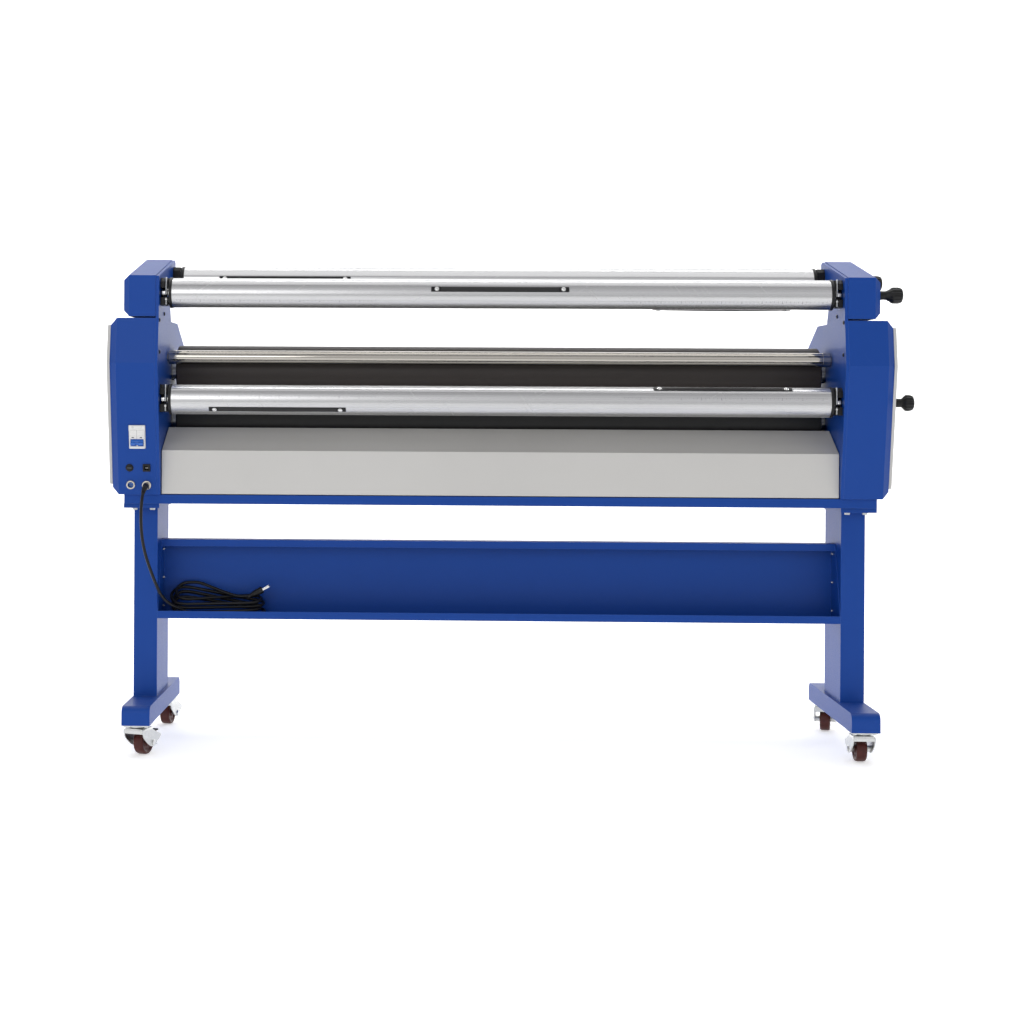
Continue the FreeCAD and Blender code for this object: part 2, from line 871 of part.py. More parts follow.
def nip_rollers():
    end = "rollerEnd - chainWide"
    core = [
        (f"-({end})", "rollerBore"),
        (f"-({end})", "rollerShaft"),
        ("-rollerHalf", "rollerShaft"),
        ("-rollerHalf", "coreRadius"),
        ("rollerHalf", "coreRadius"),
        ("rollerHalf", "rollerShaft"),
        ("rollerEnd - armThick", "rollerShaft"),
        ("rollerEnd - armThick", "rollerBore"),
        ("rollerHalf - coreEnd", "rollerBore"),
        ("rollerHalf - coreEnd", "coreRadius - coreWall"),
        ("coreEnd - rollerHalf", "coreRadius - coreWall"),
        ("coreEnd - rollerHalf", "rollerBore"),
    ]
    sleeve = [
        ("-rollerHalf", "coreRadius"),
        ("-rollerHalf", "rollerRadius - rollerRound"),
        ("rollerRound - rollerHalf", "rollerRadius"),
        ("rollerHalf - rollerRound", "rollerRadius"),
        ("rollerHalf", "rollerRadius - rollerRound"),
        ("rollerHalf", "coreRadius"),
    ]
    for word, height in (("lower", "lowerZ"), ("upper", "upperZ")):
        turned = turned_body(word + "Core", core)
        if word == "lower":
            disc = made(sprocket(SIZES["rollerTeeth"]), "RollerSprocket")
            bore = rod("x", "rollerShaft", "chainWide + 2", "-(chainInner + chainWide + 1)")
            turned = together(turned, cut(disc, bore))
        node(place(turned, "0", "rollerY", height), word + "_roller_core")
        rubber = place(turned_body(word + "Sleeve", sleeve), "0", "rollerY", height)
        node(rubber, word + "_roller_cover")


def roller_brackets():
    """Cast brackets: the lower roller's bearing, and guides open above for the lift block."""
    brackets = []
    base = "plateInner + plateThick"
    for side in SIDES.values():
        x = span(side, base, f"{base} + bracketThick")
        body = block(x, ("rollerY - bracketHalf", "rollerY + bracketHalf"),
                     ("bracketLowZ", "bracketTopZ"))
        guide = block(x, ("rollerY - blockHalf - bodyGap", "rollerY + blockHalf + bodyGap"),
                      ("blockLowZ - bodyGap", "bracketTopZ + 1"))
        bore = rod("x", "rollerShaft + runGap", "bracketThick", x[0], "rollerY", "lowerZ")
        brackets.append(cut(body, guide, bore))
    node(place(together(*brackets)), "roller_brackets")


def lift_blocks():
    """Blocks that carry the upper roller; an arm rests on the cam behind the roller."""
    inner = "plateInner + plateThick + bodyGap"
    middle = "plateInner + plateThick + bracketThick + bodyGap"
    top = "blockLowZ + blockTall"
    foot_low = "camZ + camRadius + camFootGap"
    blocks = []
    for side in SIDES.values():
        body = block(span(side, inner, middle), ("rollerY - blockHalf", "rollerY + blockHalf"),
                     ("blockLowZ", top))
        arm_x = span(side, middle, f"{middle} + armThick")
        arm = block(arm_x, ("rollerY - blockHalf", "armEndY"), ("blockLowZ", top))
        foot = block(arm_x, ("camY - camFootHalf", "camY + camFootHalf"), (foot_low, "blockLowZ"))
        bore_x = span(side, "plateInner", f"{middle} + armThick + 1")
        bore = rod("x", "rollerShaft + runGap", f"{bore_x[1]} - ({bore_x[0]})", bore_x[0],
                   "rollerY", "upperZ")
        blocks.append(cut(fuse(body, arm, foot), bore))
    node(place(together(*blocks)), "lift_blocks")


def cam_outline(steps=36):
    """A spiral whose radius grows evenly with angle, closed by a straight flank.

    The spiral starts straight up and runs towards -Y, so that turning the shaft by a
    positive angle brings it over +Y and up.
    """
    rise = number("liftTravel")
    start = number("camRadius")
    sweep = math.radians(number("camSweep"))
    corners = []
    for step in range(steps + 1):
        angle = sweep * step / steps
        radius = start + rise * step / steps
        corners.append(Vector(0, radius * math.sin(angle), radius * math.cos(angle)))
    curve = Part.BSplineCurve()
    curve.interpolate(corners)
    high = start + rise
    dwell_end = sweep + math.radians(number("camDwell"))
    flank_end = dwell_end + math.radians(number("camFlank"))
    dwell = Vector(0, high * math.sin(dwell_end), high * math.cos(dwell_end))
    flank = Vector(0, start * math.sin(flank_end), start * math.cos(flank_end))
    tail = Part.makePolygon([corners[-1], dwell, flank, corners[0]])
    return Part.Wire([curve.toShape()] + tail.Edges)


def lift_shaft():
    """The cross shaft with a spiral cam under each lift arm."""
    arm_inner = "plateInner + plateThick + bracketThick + bodyGap"
    pieces = [rod("x", "camShaft", "wheelHubX + wheelHubLong + rollerEnd", "-rollerEnd")]
    face = Part.Face(cam_outline())
    for word, side in SIDES.items():
        low = span(side, f"{arm_inner} + 1", f"{arm_inner} + 1 + camThick")[0]
        cam = face.extrude(Vector(number("camThick"), 0, 0))
        cam.translate(Vector(number(low), 0, 0))
        pieces.append(made(cam, word + "Cam"))
    node(place(fuse(*pieces), "0", "camY", "camZ"), "lift_cam_shaft")


def handwheel():
    hub = rod("x", "wheelHubRadius", "wheelHubLong")
    rim = doc.addObject("Part::Torus", "Rim")
    bind(rim, "Radius1", "wheelRimRadius")
    bind(rim, "Radius2", "wheelRimThick")
    shift(rim, "wheelHubLong / 2", "0", "0", ALONG["x"])
    spokes = []
    for index in range(3):
        turn = Rotation(Vector(1, 0, 0), 120 * index)
        spokes.append(shift(rod("z", "wheelSpoke", "wheelRimRadius"), "wheelHubLong / 2"))
        spokes[-1].Placement = Placement(spokes[-1].Placement.Base, turn)
    grip = rod("x", "gripRadius", "gripEndX - wheelHubX - wheelHubLong / 2", "wheelHubLong / 2",
               "0", "wheelRimRadius")
    bore = rod("x", "camShaft + runGap", "wheelHubLong")
    wheel = cut(fuse(hub, rim, *spokes, grip), bore)
    node(place(wheel, "wheelHubX", "camY", "camZ"), "handwheel")


def guide_bar():
    end = "plateInner + plateThick - 1"
    outline = [
        (f"-({end})", "0"),
        (f"-({end})", "guideStub"),
        ("-guideHalf", "guideStub"),
        ("-guideHalf", "guideRadius"),
        ("guideHalf", "guideRadius"),
        ("guideHalf", "guideStub"),
        (end, "guideStub"),
        (end, "0"),
    ]
    node(place(turned_body("GuideBar", outline), "0", "guideY", "guideZ"), "guide_bar")


def loop_wire(x, low, high, distance):
    """The outline of a belt round two circles about X: one on the axis, one above it."""
    slope = math.asin((high - low) / distance)
    cos, sin = math.cos(slope), math.sin(slope)
    low_tangent = Vector(x, low * cos, -low * sin)
    high_tangent = Vector(x, high * cos, distance - high * sin)
    mirrored = [Vector(x, -point.y, point.z) for point in (low_tangent, high_tangent)]
    bottom = Vector(x, 0, -low)
    top = Vector(x, 0, distance + high)
    edges = [
        Part.Arc(mirrored[0], bottom, low_tangent).toShape(),
        Part.LineSegment(low_tangent, high_tangent).toShape(),
        Part.Arc(high_tangent, top, mirrored[1]).toShape(),
        Part.LineSegment(mirrored[1], mirrored[0]).toShape(),
    ]
    return Part.Wire(edges)


def drive():
    """Worm gear motor in the left cabinet, its sprocket and the chain up to the roller."""
    gear_x = ("-(gearboxInner + gearboxWide)", "-gearboxInner")
    gearbox = block(gear_x, ("rollerY - gearboxHalf", "rollerY + gearboxHalf"),
                    ("motorZ - gearboxHalf", "motorZ + gearboxHalf"))
    foot = block(gear_x, ("rollerY - gearboxHalf", "motorFootEndY"),
                 ("bottomZ + sheet", "motorZ - gearboxHalf"))
    can = rod("y", "motorRadius", "motorEndY - rollerY - gearboxHalf",
              "-(gearboxInner + gearboxWide / 2)", "rollerY + gearboxHalf", "motorZ")
    node(place(fuse(gearbox, foot, can)), "drive_motor")

    disc = made(sprocket(SIZES["motorTeeth"]), "MotorSprocket")
    hub = rod("x", "motorShaft", "gearboxInner - bodyGap - chainInner", "-(gearboxInner - bodyGap)")
    node(place(fuse(disc, hub), "0", "rollerY", "motorZ"), "motor_sprocket")

    distance = number("lowerZ - motorZ")
    thick = number("chainThick")
    low_radius = pitch_radius(SIZES["motorTeeth"])
    high_radius = pitch_radius(SIZES["rollerTeeth"])
    low_x = -number("chainInner + chainWide")
    outside = Part.Face(loop_wire(low_x, low_radius + thick, high_radius + thick, distance))
    inside = Part.Face(loop_wire(low_x, low_radius, high_radius, distance))
    band = outside.cut(inside).extrude(Vector(number("chainWide"), 0, 0))
    node(place(made(band, "Chain"), "0", "rollerY", "motorZ"), "drive_chain")


# ---------------------------------------------------------------- core shafts, seats and latches

# Where the gripper strips sit: steps along the shaft, and degrees above the -Y direction.
STRIPS = {
    "liner": ((-1, 135), (0, 15), (1, -105)),
    "supply": ((-1, 8), (0, -112), (1, 128)),
    "take_up": ((-1, -41), (0, 175), (1, 57)),
}


def strip_turn(degrees):
    return Rotation(Vector(1, 0, 0), 90 - degrees)


def strip_block(step, degrees, grow, low, high):
    half = f"stripLong / 2 + {grow}"
    item = block((f"-({half})", half), (f"-(stripWide / 2 + {grow})", f"stripWide / 2 + {grow}"),
                 (low, high))
    # turned about the shaft's axis, which keeps its X
    item.Placement = Placement(Vector(), strip_turn(degrees))
    turned_y = f"-(stripWide / 2 + {grow}) * {math.sin(math.radians(degrees)):.6f}"
    turned_y += f" - ({low}) * {math.cos(math.radians(degrees)):.6f}"
    turned_z = f"-(stripWide / 2 + {grow}) * {math.cos(math.radians(degrees)):.6f}"
    turned_z += f" + ({low}) * {math.sin(math.radians(degrees)):.6f}"
    bind(item, "Placement.Base.x", f"stripPitch * {step} - ({half})")
    bind(item, "Placement.Base.y", turned_y)
    bind(item, "Placement.Base.z", turned_z)
    return item


def strip_screw(step, end, degrees):
    item = doc.addObject("Part::Cylinder", "StripScrew")
    bind(item, "Radius", "stripScrewRadius")
    bind(item, "Height", "stripScrewHigh - stripHigh")
    item.Placement = Placement(Vector(), strip_turn(degrees))
    bind(item, "Placement.Base.x", f"stripPitch * {step} + ({end}) * (stripLong / 2 - stripScrewInset)")
    bind(item, "Placement.Base.y", f"-stripHigh * {math.cos(math.radians(degrees)):.6f}")
    bind(item, "Placement.Base.z", f"stripHigh * {math.sin(math.radians(degrees)):.6f}")
    return item


def core_shafts():
    for word, (y, z) in SHAFTS.items():
        outer = rod("x", "tubeRadius", "2 * tubeHalf", "-tubeHalf")
        slots = [strip_block(step, degrees, "slotGap", "stripLow - 4", "tubeRadius + 3")
                 for step, degrees in STRIPS[word]]
        tube = cut(outer, rod("x", "tubeRadius - tubeWall", "2 * tubeHalf", "-tubeHalf"), *slots)
        ends = []
        for side in SIDES.values():
            disc = rod("x", "hubRadius", "hubThick", span(side, "tubeHalf", "tubeHalf + hubThick")[0])
            journal_x = span(side, "tubeHalf + hubThick", "journalEnd")
            journal = rod("x", "journalRadius", "journalEnd - tubeHalf - hubThick", journal_x[0])
            ends.extend((disc, journal))
        node(place(together(tube, *ends), "0", y, z), word + "_tube")
        strips = []
        for step, degrees in STRIPS[word]:
            strips.append(strip_block(step, degrees, "0", "stripLow", "stripHigh"))
            strips.extend(strip_screw(step, end, degrees) for end in (-1, 1))
        node(place(together(*strips), "0", y, z), word + "_grips")


# Outline of a seat about its shaft: an arched block
SEAT_OUTLINE = [
    ("-seatFront", "-seatLow"),
    ("seatBack", "-seatLow"),
    ("seatBack", "seatHigh - seatArch / 2"),
    ("seatBack - seatArch / 2", "seatHigh"),
    ("seatArch / 2 - seatFront", "seatHigh"),
    ("-seatFront", "seatHigh - seatArch / 2"),
]


def shaft_seats():
    """Blocks on the plates with a slot for the journal: forwards, or upwards on the far shaft."""
    seats = []
    fit = "journalRadius + bodyGap"
    for word, (y, z) in SHAFTS.items():
        for side in SIDES.values():
            low = span(side, "seatInner", "plateInner")[0]
            body = side_body(word + "Seat", low, "plateInner - seatInner", SEAT_OUTLINE)
            shape_x = span(side, "seatInner", "plateInner")
            tools = [rod("x", fit, "plateInner - seatInner", shape_x[0])]
            if word == "supply":
                tools.append(block(shape_x, (f"-({fit})", fit), ("0", "seatHigh + 1")))
            else:
                tools.append(block(shape_x, ("-seatFront - 1", "0"), (f"-({fit})", fit)))
                groove_x = span(side, "latchNear - latchPlay", "latchNear + latchThick + latchPlay")
                tools.append(block(groove_x, ("-seatFront - 1", "2 - latchDrop + latchTail"),
                                   ("-seatLow - 1", "seatHigh + 1")))
            bind(body, "Placement.Base.x", low)
            bind(body, "Placement.Base.y", "0")
            seats.append(place(cut(body, *tools), "0", y, z))
    node(together(*seats), "shaft_seats")


def shaft_latches():
    """Upright bars across the mouths of the near seats, each on a cross pin."""
    for word in ("liner", "take_up"):
        y, z = SHAFTS[word]
        for name, side in SIDES.items():
            x = span(side, "latchNear", "latchNear + latchThick")
            bar = block(x, ("-latchFront", "latchDeep - latchFront"),
                        ("-(latchDrop + latchTail)", "latchTop"))
            pin_x = span(side, "latchNear - 0.3", "latchNear + latchThick + 0.3")
            pin = rod("x", "latchPin", "latchThick + 0.6", pin_x[0],
                      "latchDeep / 2 - latchFront", "-latchDrop")
            node(place(fuse(bar, pin), "0", y, z), f"{word}_latch_{name}")


def tension_knobs():
    for word, (y, z) in SHAFTS.items():
        start = "plateInner + plateThick + cabinetDepth + panelThick + bodyGap * 2"
        length = "knobLong - bodyGap * 2"
        if word != "take_up":
            start = "coverKnobX"
            length = "coverKnobLong"
        outline = [
            ("spindleStart", "0"),
            ("spindleStart", "spindleRadius"),
            (start, "spindleRadius"),
            (start, "knobNeck - 1"),
            (f"{start} + knobNeckLong - 2", "knobNeck"),
            (f"{start} + ({length}) / 2 + 2", "knobRadius"),
            (f"{start} + ({length}) - 8", "knobRadius"),
            (f"{start} + ({length})", "knobRadius - 8"),
            (f"{start} + ({length})", "0"),
        ]
        node(place(turned_body(word + "Knob", outline), "0", y, z), word + "_knob")


# ---------------------------------------------------------------- electrical fittings

def circuit_breaker():
    wide = ("-breakerWide / 2", "breakerWide / 2")
    case = block(wide, ("-breakerProud", "breakerDeep"), ("-breakerTall / 2", "breakerTall / 2"))
    pocket = block(("-togglePocket / 2", "togglePocket / 2"),
                   ("-breakerProud - 1", "toggleRadius + togglePlay"),
                   ("toggleLow - toggleRadius - togglePlay", "toggleLow + toggleRadius + toggleSwing"))
    node(rear_face(cut(case, pocket), "breakerX", "breakerZ"), "circuit_breaker")
    long = "togglePocket - 2 * bodyGap"
    drum = rod("x", "toggleRadius", long, "bodyGap - togglePocket / 2", "0", "toggleLow")
    lever = block(("bodyGap - togglePocket / 2", "togglePocket / 2 - bodyGap"),
                  ("-toggleLever", "0"), ("toggleLow - toggleSwing", "toggleLow + toggleUp"))
    node(rear_face(fuse(drum, lever), "breakerX", "breakerZ"), "breaker_toggle")


def panel_fittings():
    fuse_holder = fuse(rod("y", "fuseRadius - fittingPlay", "fittingDeep"),
                       rod("y", "fuseRadius + 2", "fittingProud", "0", "-fittingProud"))
    wide = ("fittingPlay - socketWide / 2", "socketWide / 2 - fittingPlay")
    pocket = ("-socketPocket / 2", "socketPocket / 2")
    socket = cut(block(wide, ("-fittingProud", "fittingDeep"), wide),
                 block(pocket, ("-fittingProud - 1", "socketPocketDeep"), pocket))
    connector = cut(fuse(rod("y", "connectorRadius - fittingPlay", "fittingDeep"),
                         rod("y", "connectorRadius + 1.5", "fittingProud", "0", "-fittingProud")),
                    rod("y", "connectorPocket", "socketPocketDeep + fittingProud",
                        "0", "-fittingProud - 1"))
    plate_front = "operatorY + controlThick"
    plate = cut(block(("controlX - controlWide / 2", "controlX + controlWide / 2"),
                      ("operatorY", plate_front), ("controlLowZ", "controlTopZ")),
                rod("y", "stopStem + 2", "cutBehind", "controlX", "operatorY - 1", "stopZ"),
                rod("y", "stopStem", "cutBehind", "controlX", "operatorY - 1", "speedZ"))
    collar = cut(rod("y", "stopRadius - 4", "collarTall", "controlX", plate_front, "stopZ"),
                 rod("y", "stopStem + bodyGap", "cutBehind", "controlX", "operatorY", "stopZ"))
    group = together(
        rear_face(fuse_holder, "fuseX", "fuseZ"),
        rear_face(socket, "socketX", "socketZ"),
        rear_face(connector, "connectorX", "connectorZ"),
        place(plate),
        place(collar),
    )
    node(group, "panel_fittings")


def operator_controls():
    front = "operatorY + controlThick + collarTall + stopTravel + bodyGap"
    stem = rod("y", "stopStem", "stopTravel + stemLong", "0", "-(stopTravel + stemLong)")
    head = rod("y", "stopRadius", "stopTall")
    domed = filleted(head, "stopRound", lambda edge: lies_at(edge, "Y", SIZES["stopTall"]))
    node(place(fuse(domed, stem), "controlX", front, "stopZ"), "emergency_stop")
    dial = cut(rod("y", "speedRadius", "speedTall"),
               block(("-speedMark", "speedMark"), ("speedTall - speedMark", "speedTall + 1"),
                     ("speedRadius / 5", "speedRadius + 1")))
    spindle = rod("y", "stopStem / 2", "stemLong", "0", "-stemLong")
    knob = place(fuse(dial, spindle), "controlX", "operatorY + controlThick + bodyGap * 2", "speedZ")
    node(knob, "speed_knob")


# ---------------------------------------------------------------- mains cord

def gland():
    washer = rod("y", "glandRadius", "fittingProud", "0", "-fittingProud")
    nut = rod("y", "glandNut - fittingPlay", "glandReach + fittingDeep", "0", "-glandReach")
    node(rear_face(fuse(washer, nut), "glandX", "glandZ"), "cord_gland")


# The hanging stretch, from the gland's mouth down over the tray's lip to the hank.
CORD_ROUTE = [
    (-886, 16.2, 667),
    (-886, -12, 660),
    (-887, -33, 636),
    (-889, -34, 597),
    (-888, -26, 546),
    (-882, -9, 500),
    (-871, 14, 455),
    (-861, 42, 416),
    (-854, 74, 387),
    (-838, 102, 364),
    (-808, 126, 350),
    (-772, 142, 346),
]


def cord_path(points):
    """Straight runs joined by arcs as large as the shorter run beside each point allows."""
    edges = []
    radii = []
    here = points[0]
    for before, corner, after in zip(points, points[1:], points[2:]):
        back = (before - corner).normalize()
        ahead = (after - corner).normalize()
        turn = math.pi - back.getAngle(ahead)
        trim = 0.45 * min(before.distanceToPoint(corner), after.distanceToPoint(corner))
        radius = trim / math.tan(turn / 2)
        radii.append(radius)
        enter = corner + back * trim
        leave = corner + ahead * trim
        inward = (back + ahead).normalize()
        centre = corner + inward * (radius / math.cos(turn / 2))
        middle = centre - inward * radius
        edges.append(Part.LineSegment(here, enter).toShape())
        edges.append(Part.Arc(enter, middle, leave).toShape())
        here = leave
    edges.append(Part.LineSegment(here, points[-1]).toShape())
    print("cord radii:", [round(radius) for radius in radii])
    return Part.Wire(edges)


def mains_cord():
    points = [Vector(*point) for point in CORD_ROUTE]
    path = cord_path(points)
    radius = number("cordRadius")
    section = Part.Wire(Part.Circle(points[0], points[1] - points[0], radius).toShape())
    tube = path.makePipeShell([section], True, False)
    ideal = math.pi * radius ** 2 * path.Length
    print("cord length", round(path.Length, 1), "volume ratio", round(tube.Volume / ideal, 4))
    node(place(made(tube, "Cord")), "power_cord")

    wedge = [
        ("hankFrontY", "trayLowZ + foldSheet"),
        ("hankBackY", "trayLowZ + foldSheet"),
        ("hankBackY", "hankTopZ"),
        ("hankTopY", "hankTopZ"),
        ("hankFrontY", "hankTopZ - hankFrontDrop"),
    ]
    hank = side_body("Hank", "hankLowX", "hankHighX - hankLowX", wedge)
    tray_floor = number("trayLowZ + foldSheet")
    dress(hank, "Fillet", "Radius", "hankRound", lambda edge: not lies_at(edge, "Z", tray_floor))
    doc.recompute()
    node(hank, "cord_hank")

    grip = rod("x", "plugRadius", "plugLong")
    blades = [block(("plugLong", "plugLong + bladeLong"),
                    (f"({side} * bladeApart - bladeThick) / 2", f"({side} * bladeApart + bladeThick) / 2"),
                    ("-bladeWide / 2", "bladeWide / 2")) for side in SIDES.values()]
    turn = Rotation(Vector(0, 1, 0), -number("plugTilt"))
    node(place(fuse(grip, *blades), "plugX", "plugY", "plugZ", turn), "plug")


# ---------------------------------------------------------------- casters

def casters():
    plates = []
    race_low = "footLowZ - casterPlateThick - raceTall"
    crown_top = f"{race_low} - bodyGap"
    crown_low = f"{crown_top} - crownTall"
    cheek_outline = [
        ("2 - crownAhead", crown_low),
        ("crownBehind - 2", crown_low),
        ("pedalPivotY + 6", "pedalPivotZ + 4"),
        ("pedalPivotY + 4", "pedalPivotZ - 6"),
        ("trail + 10", "wheelRadius - 9"),
        ("trail - 10", "wheelRadius - 9"),
        ("8 - crownAhead", f"{crown_low} - 12"),
    ]
    for name, swing in CASTER_SWINGS.items():
        side, end = name.split("_")
        x = f"{SIDES[side]} * (footInner + footWide / 2)"
        y = "footFrontY + casterInset" if end == "rear" else "footFrontY + footLong - casterInset"
        turn = Rotation(Vector(0, 0, 1), -swing)
        half = "casterPlate / 2"
        plate = fuse(block((f"-({half})", half), (f"-({half})", half),
                           ("footLowZ - casterPlateThick", "footLowZ")),
                     rod("z", "raceRadius", "raceTall", "0", "0", race_low))
        plates.append(place(plate, x, y))

        crown = block(("-crownHalf", "crownHalf"), ("-crownAhead", "crownBehind"),
                      (crown_low, crown_top))
        cheeks = []
        for cheek in SIDES.values():
            low = span(cheek, "crownHalf - forkPlate", "crownHalf")[0]
            body = side_body(name + "Cheek", low, "forkPlate", cheek_outline)
            bind(body, "Placement.Base.x", low)
            bind(body, "Placement.Base.y", "0")
            cheeks.append(body)
        axle = rod("x", "axleRadius", "2 * crownHalf", "-crownHalf", "trail", "wheelRadius")
        nuts = [rod("x", "nutRadius", "nutThick", span(cheek, "crownHalf", "crownHalf + nutThick")[0],
                    "trail", "wheelRadius") for cheek in SIDES.values()]
        fork = fuse(crown, *cheeks, axle, *nuts)
        if name in BRAKED:
            pin = rod("x", "pedalPin", "2 * crownHalf", "-crownHalf", "pedalPivotY", "pedalPivotZ")
            fork = fuse(fork, pin)
        node(place(fork, x, y, "0", turn), f"{name}_fork")

        half_wide = "wheelWide / 2"
        outline = [
            (f"-({half_wide})", "axleRadius + runGap"),
            (f"-({half_wide})", "wheelRadius - wheelRound"),
            (f"wheelRound * 0.3 - {half_wide}", "wheelRadius - wheelRound * 0.3"),
            (f"wheelRound - {half_wide}", "wheelRadius"),
            (f"{half_wide} - wheelRound", "wheelRadius"),
            (f"{half_wide} - wheelRound * 0.3", "wheelRadius - wheelRound * 0.3"),
            (half_wide, "wheelRadius - wheelRound"),
            (half_wide, "axleRadius + runGap"),
        ]
        tyre = turned_body(name + "Wheel", outline)
        shift(tyre, "0", "trail", "wheelRadius")
        node(place(together(tyre), x, y, "0", turn), f"{name}_wheel")

        if name in BRAKED:
            across = ("-pedalHalf", "pedalHalf")
            hub = rod("x", "pedalHub", "2 * pedalHalf", "-pedalHalf", "pedalPivotY", "pedalPivotZ")
            upper = block(across, ("pedalPivotY", "pedalPivotY + pedalLong"),
                          ("pedalPivotZ + pedalRise", "pedalPivotZ + pedalRise + pedalThick"))
            neck = block(across, ("pedalPivotY", "pedalPivotY + pedalThick"),
                         ("pedalPivotZ + 2", "pedalPivotZ + pedalRise + 1"))
            strip = block(across, ("pedalPivotY + 1", "pedalPivotY + 1 + pedalThick"),
                          ("pedalPivotZ - tabDrop - 1", "pedalPivotZ"))
            tab = block(across, ("pedalPivotY + 1", "pedalPivotY + tabLong"),
                        ("pedalPivotZ - tabDrop - pedalThick", "pedalPivotZ - tabDrop"))
            bore = rod("x", "pedalPin + runGap", "2 * crownHalf", "-crownHalf",
                       "pedalPivotY", "pedalPivotZ")
            pedal = cut(fuse(hub, upper, neck, strip, tab), bore)
            node(place(pedal, x, y, "0", turn), f"{name}_pedal")
    node(together(*plates), "caster_plates")


# ---------------------------------------------------------------- build, check and write

BUILDERS = (
    side_plates, cabinets, top_covers, outer_panels, rear_panel, base_pan, tray, feed_table, legs,
    frame_bolts, nip_rollers, roller_brackets, lift_blocks, lift_shaft, handwheel, guide_bar, drive,
    core_shafts, shaft_seats, shaft_latches, tension_knobs, circuit_breaker, panel_fittings,
    operator_controls, gland, mains_cord, casters,
)
for builder in BUILDERS:
    builder()
doc.recompute()

faults = [item.Name for item in doc.Objects if {"Invalid", "Error"} & set(item.State)]
if faults:
    raise RuntimeError(f"objects that failed: {faults}")
for label, item in nodes.items():
    if item.Shape.isNull() or not item.Shape.isValid() or not item.Shape.Solids:
        raise RuntimeError(f"{label} has no valid solid")

os.makedirs("parts", exist_ok=True)
for label, item in nodes.items():
    item.Shape.exportStep(f"parts/{label}.step")
print(len(nodes), "nodes written")
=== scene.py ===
import math

import bmesh
import bpy
import numpy as np
from mathutils import Matrix, Vector


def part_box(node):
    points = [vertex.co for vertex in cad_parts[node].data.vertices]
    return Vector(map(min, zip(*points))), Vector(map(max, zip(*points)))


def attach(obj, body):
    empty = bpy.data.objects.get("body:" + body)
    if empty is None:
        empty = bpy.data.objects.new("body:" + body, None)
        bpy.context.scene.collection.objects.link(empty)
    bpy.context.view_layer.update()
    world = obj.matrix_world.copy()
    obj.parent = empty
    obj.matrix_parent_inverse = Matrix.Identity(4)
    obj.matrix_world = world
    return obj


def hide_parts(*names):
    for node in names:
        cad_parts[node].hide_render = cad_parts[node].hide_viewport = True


# Cold roll laminator on a wheeled stand. Metres, +Z up, +X along the rollers.
# The take-up side with the power inlet faces -Y, the feed table faces +Y.

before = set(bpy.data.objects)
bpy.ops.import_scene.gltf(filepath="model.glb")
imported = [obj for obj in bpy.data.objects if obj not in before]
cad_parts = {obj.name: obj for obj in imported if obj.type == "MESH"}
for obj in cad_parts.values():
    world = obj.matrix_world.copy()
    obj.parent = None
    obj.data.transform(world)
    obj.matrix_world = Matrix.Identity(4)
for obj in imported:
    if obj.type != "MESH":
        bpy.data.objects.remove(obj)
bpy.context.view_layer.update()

# from the machine's own planes (middle of the rollers, face of the covers) to the frame's origin
SHIFT = np.array([-0.0245, -0.2365, 0.0])
SIDES = {"left": -1, "right": 1}


def at(x, y, z):
    """A point given in the machine's own millimetres."""
    return np.array([x, y, z]) / 1000 + SHIFT


def box_of(node):
    """Lowest and highest corner of a node."""
    low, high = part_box(node)
    return np.array(low), np.array(high)


def middle(node):
    """The centre of a node's box."""
    return sum(box_of(node)) / 2


# ---------------------------------------------------------------- surfaces

def quads(rows, columns, wrap=True):
    """Faces between neighbouring points of a grid of rows by columns; the columns may wrap round."""
    row = np.arange(rows - 1)[:, None]
    column = np.arange(columns if wrap else columns - 1)[None, :]
    following = (column + 1) % columns
    corners = (row * columns + column, row * columns + following,
               (row + 1) * columns + following, (row + 1) * columns + column)
    spread = (rows - 1, column.size)
    return np.stack([np.broadcast_to(corner, spread).ravel() for corner in corners], 1).tolist()


def capped(rings):
    """A closed skin through rings of points (rings, points, 3), with a flat face at both ends."""
    count, size = rings.shape[:2]
    faces = quads(count, size)
    faces.append(list(range(size))[::-1])
    faces.append(list(range((count - 1) * size, count * size)))
    return rings.reshape(-1, 3), faces


def eased(outline, reach, steps=3, closed=False):
    """An outline with each corner P replaced by the curve (1-t)^2 A + 2t(1-t) P + t^2 B, where
    A and B lie on the two sides, reach from P or at most 0.45 of the side."""
    outline = np.asarray(outline, float)
    before = np.roll(outline, 1, 0) - outline
    after = np.roll(outline, -1, 0) - outline
    ends = []
    for side in (before, after):
        length = np.linalg.norm(side, axis=1, keepdims=True) + 1e-12
        ends.append(outline + side / length * np.minimum(reach, 0.45 * length))
    t = np.linspace(0, 1, steps + 1)[None, :, None]
    corner = outline[:, None]
    curved = (1 - t) ** 2 * ends[0][:, None] + 2 * t * (1 - t) * corner + t ** 2 * ends[1][:, None]
    if closed:
        return curved.reshape(-1, outline.shape[1])
    inner = curved[1:-1].reshape(-1, outline.shape[1])
    return np.vstack([outline[:1], inner, outline[-1:]])


def turned(profile, count=48, ease=0.0):
    """A lathe shape about X: each profile point (along, radius) becomes a ring of that radius."""
    profile = np.asarray(profile, float)
    if ease:
        profile = eased(profile, ease)
    angle = np.linspace(0, 2 * np.pi, count, endpoint=False)
    along, radius = profile[:, :1], np.maximum(profile[:, 1:], 1e-5)
    rings = np.stack([along + 0 * angle, radius * np.cos(angle), radius * np.sin(angle)], 2)
    return capped(rings)


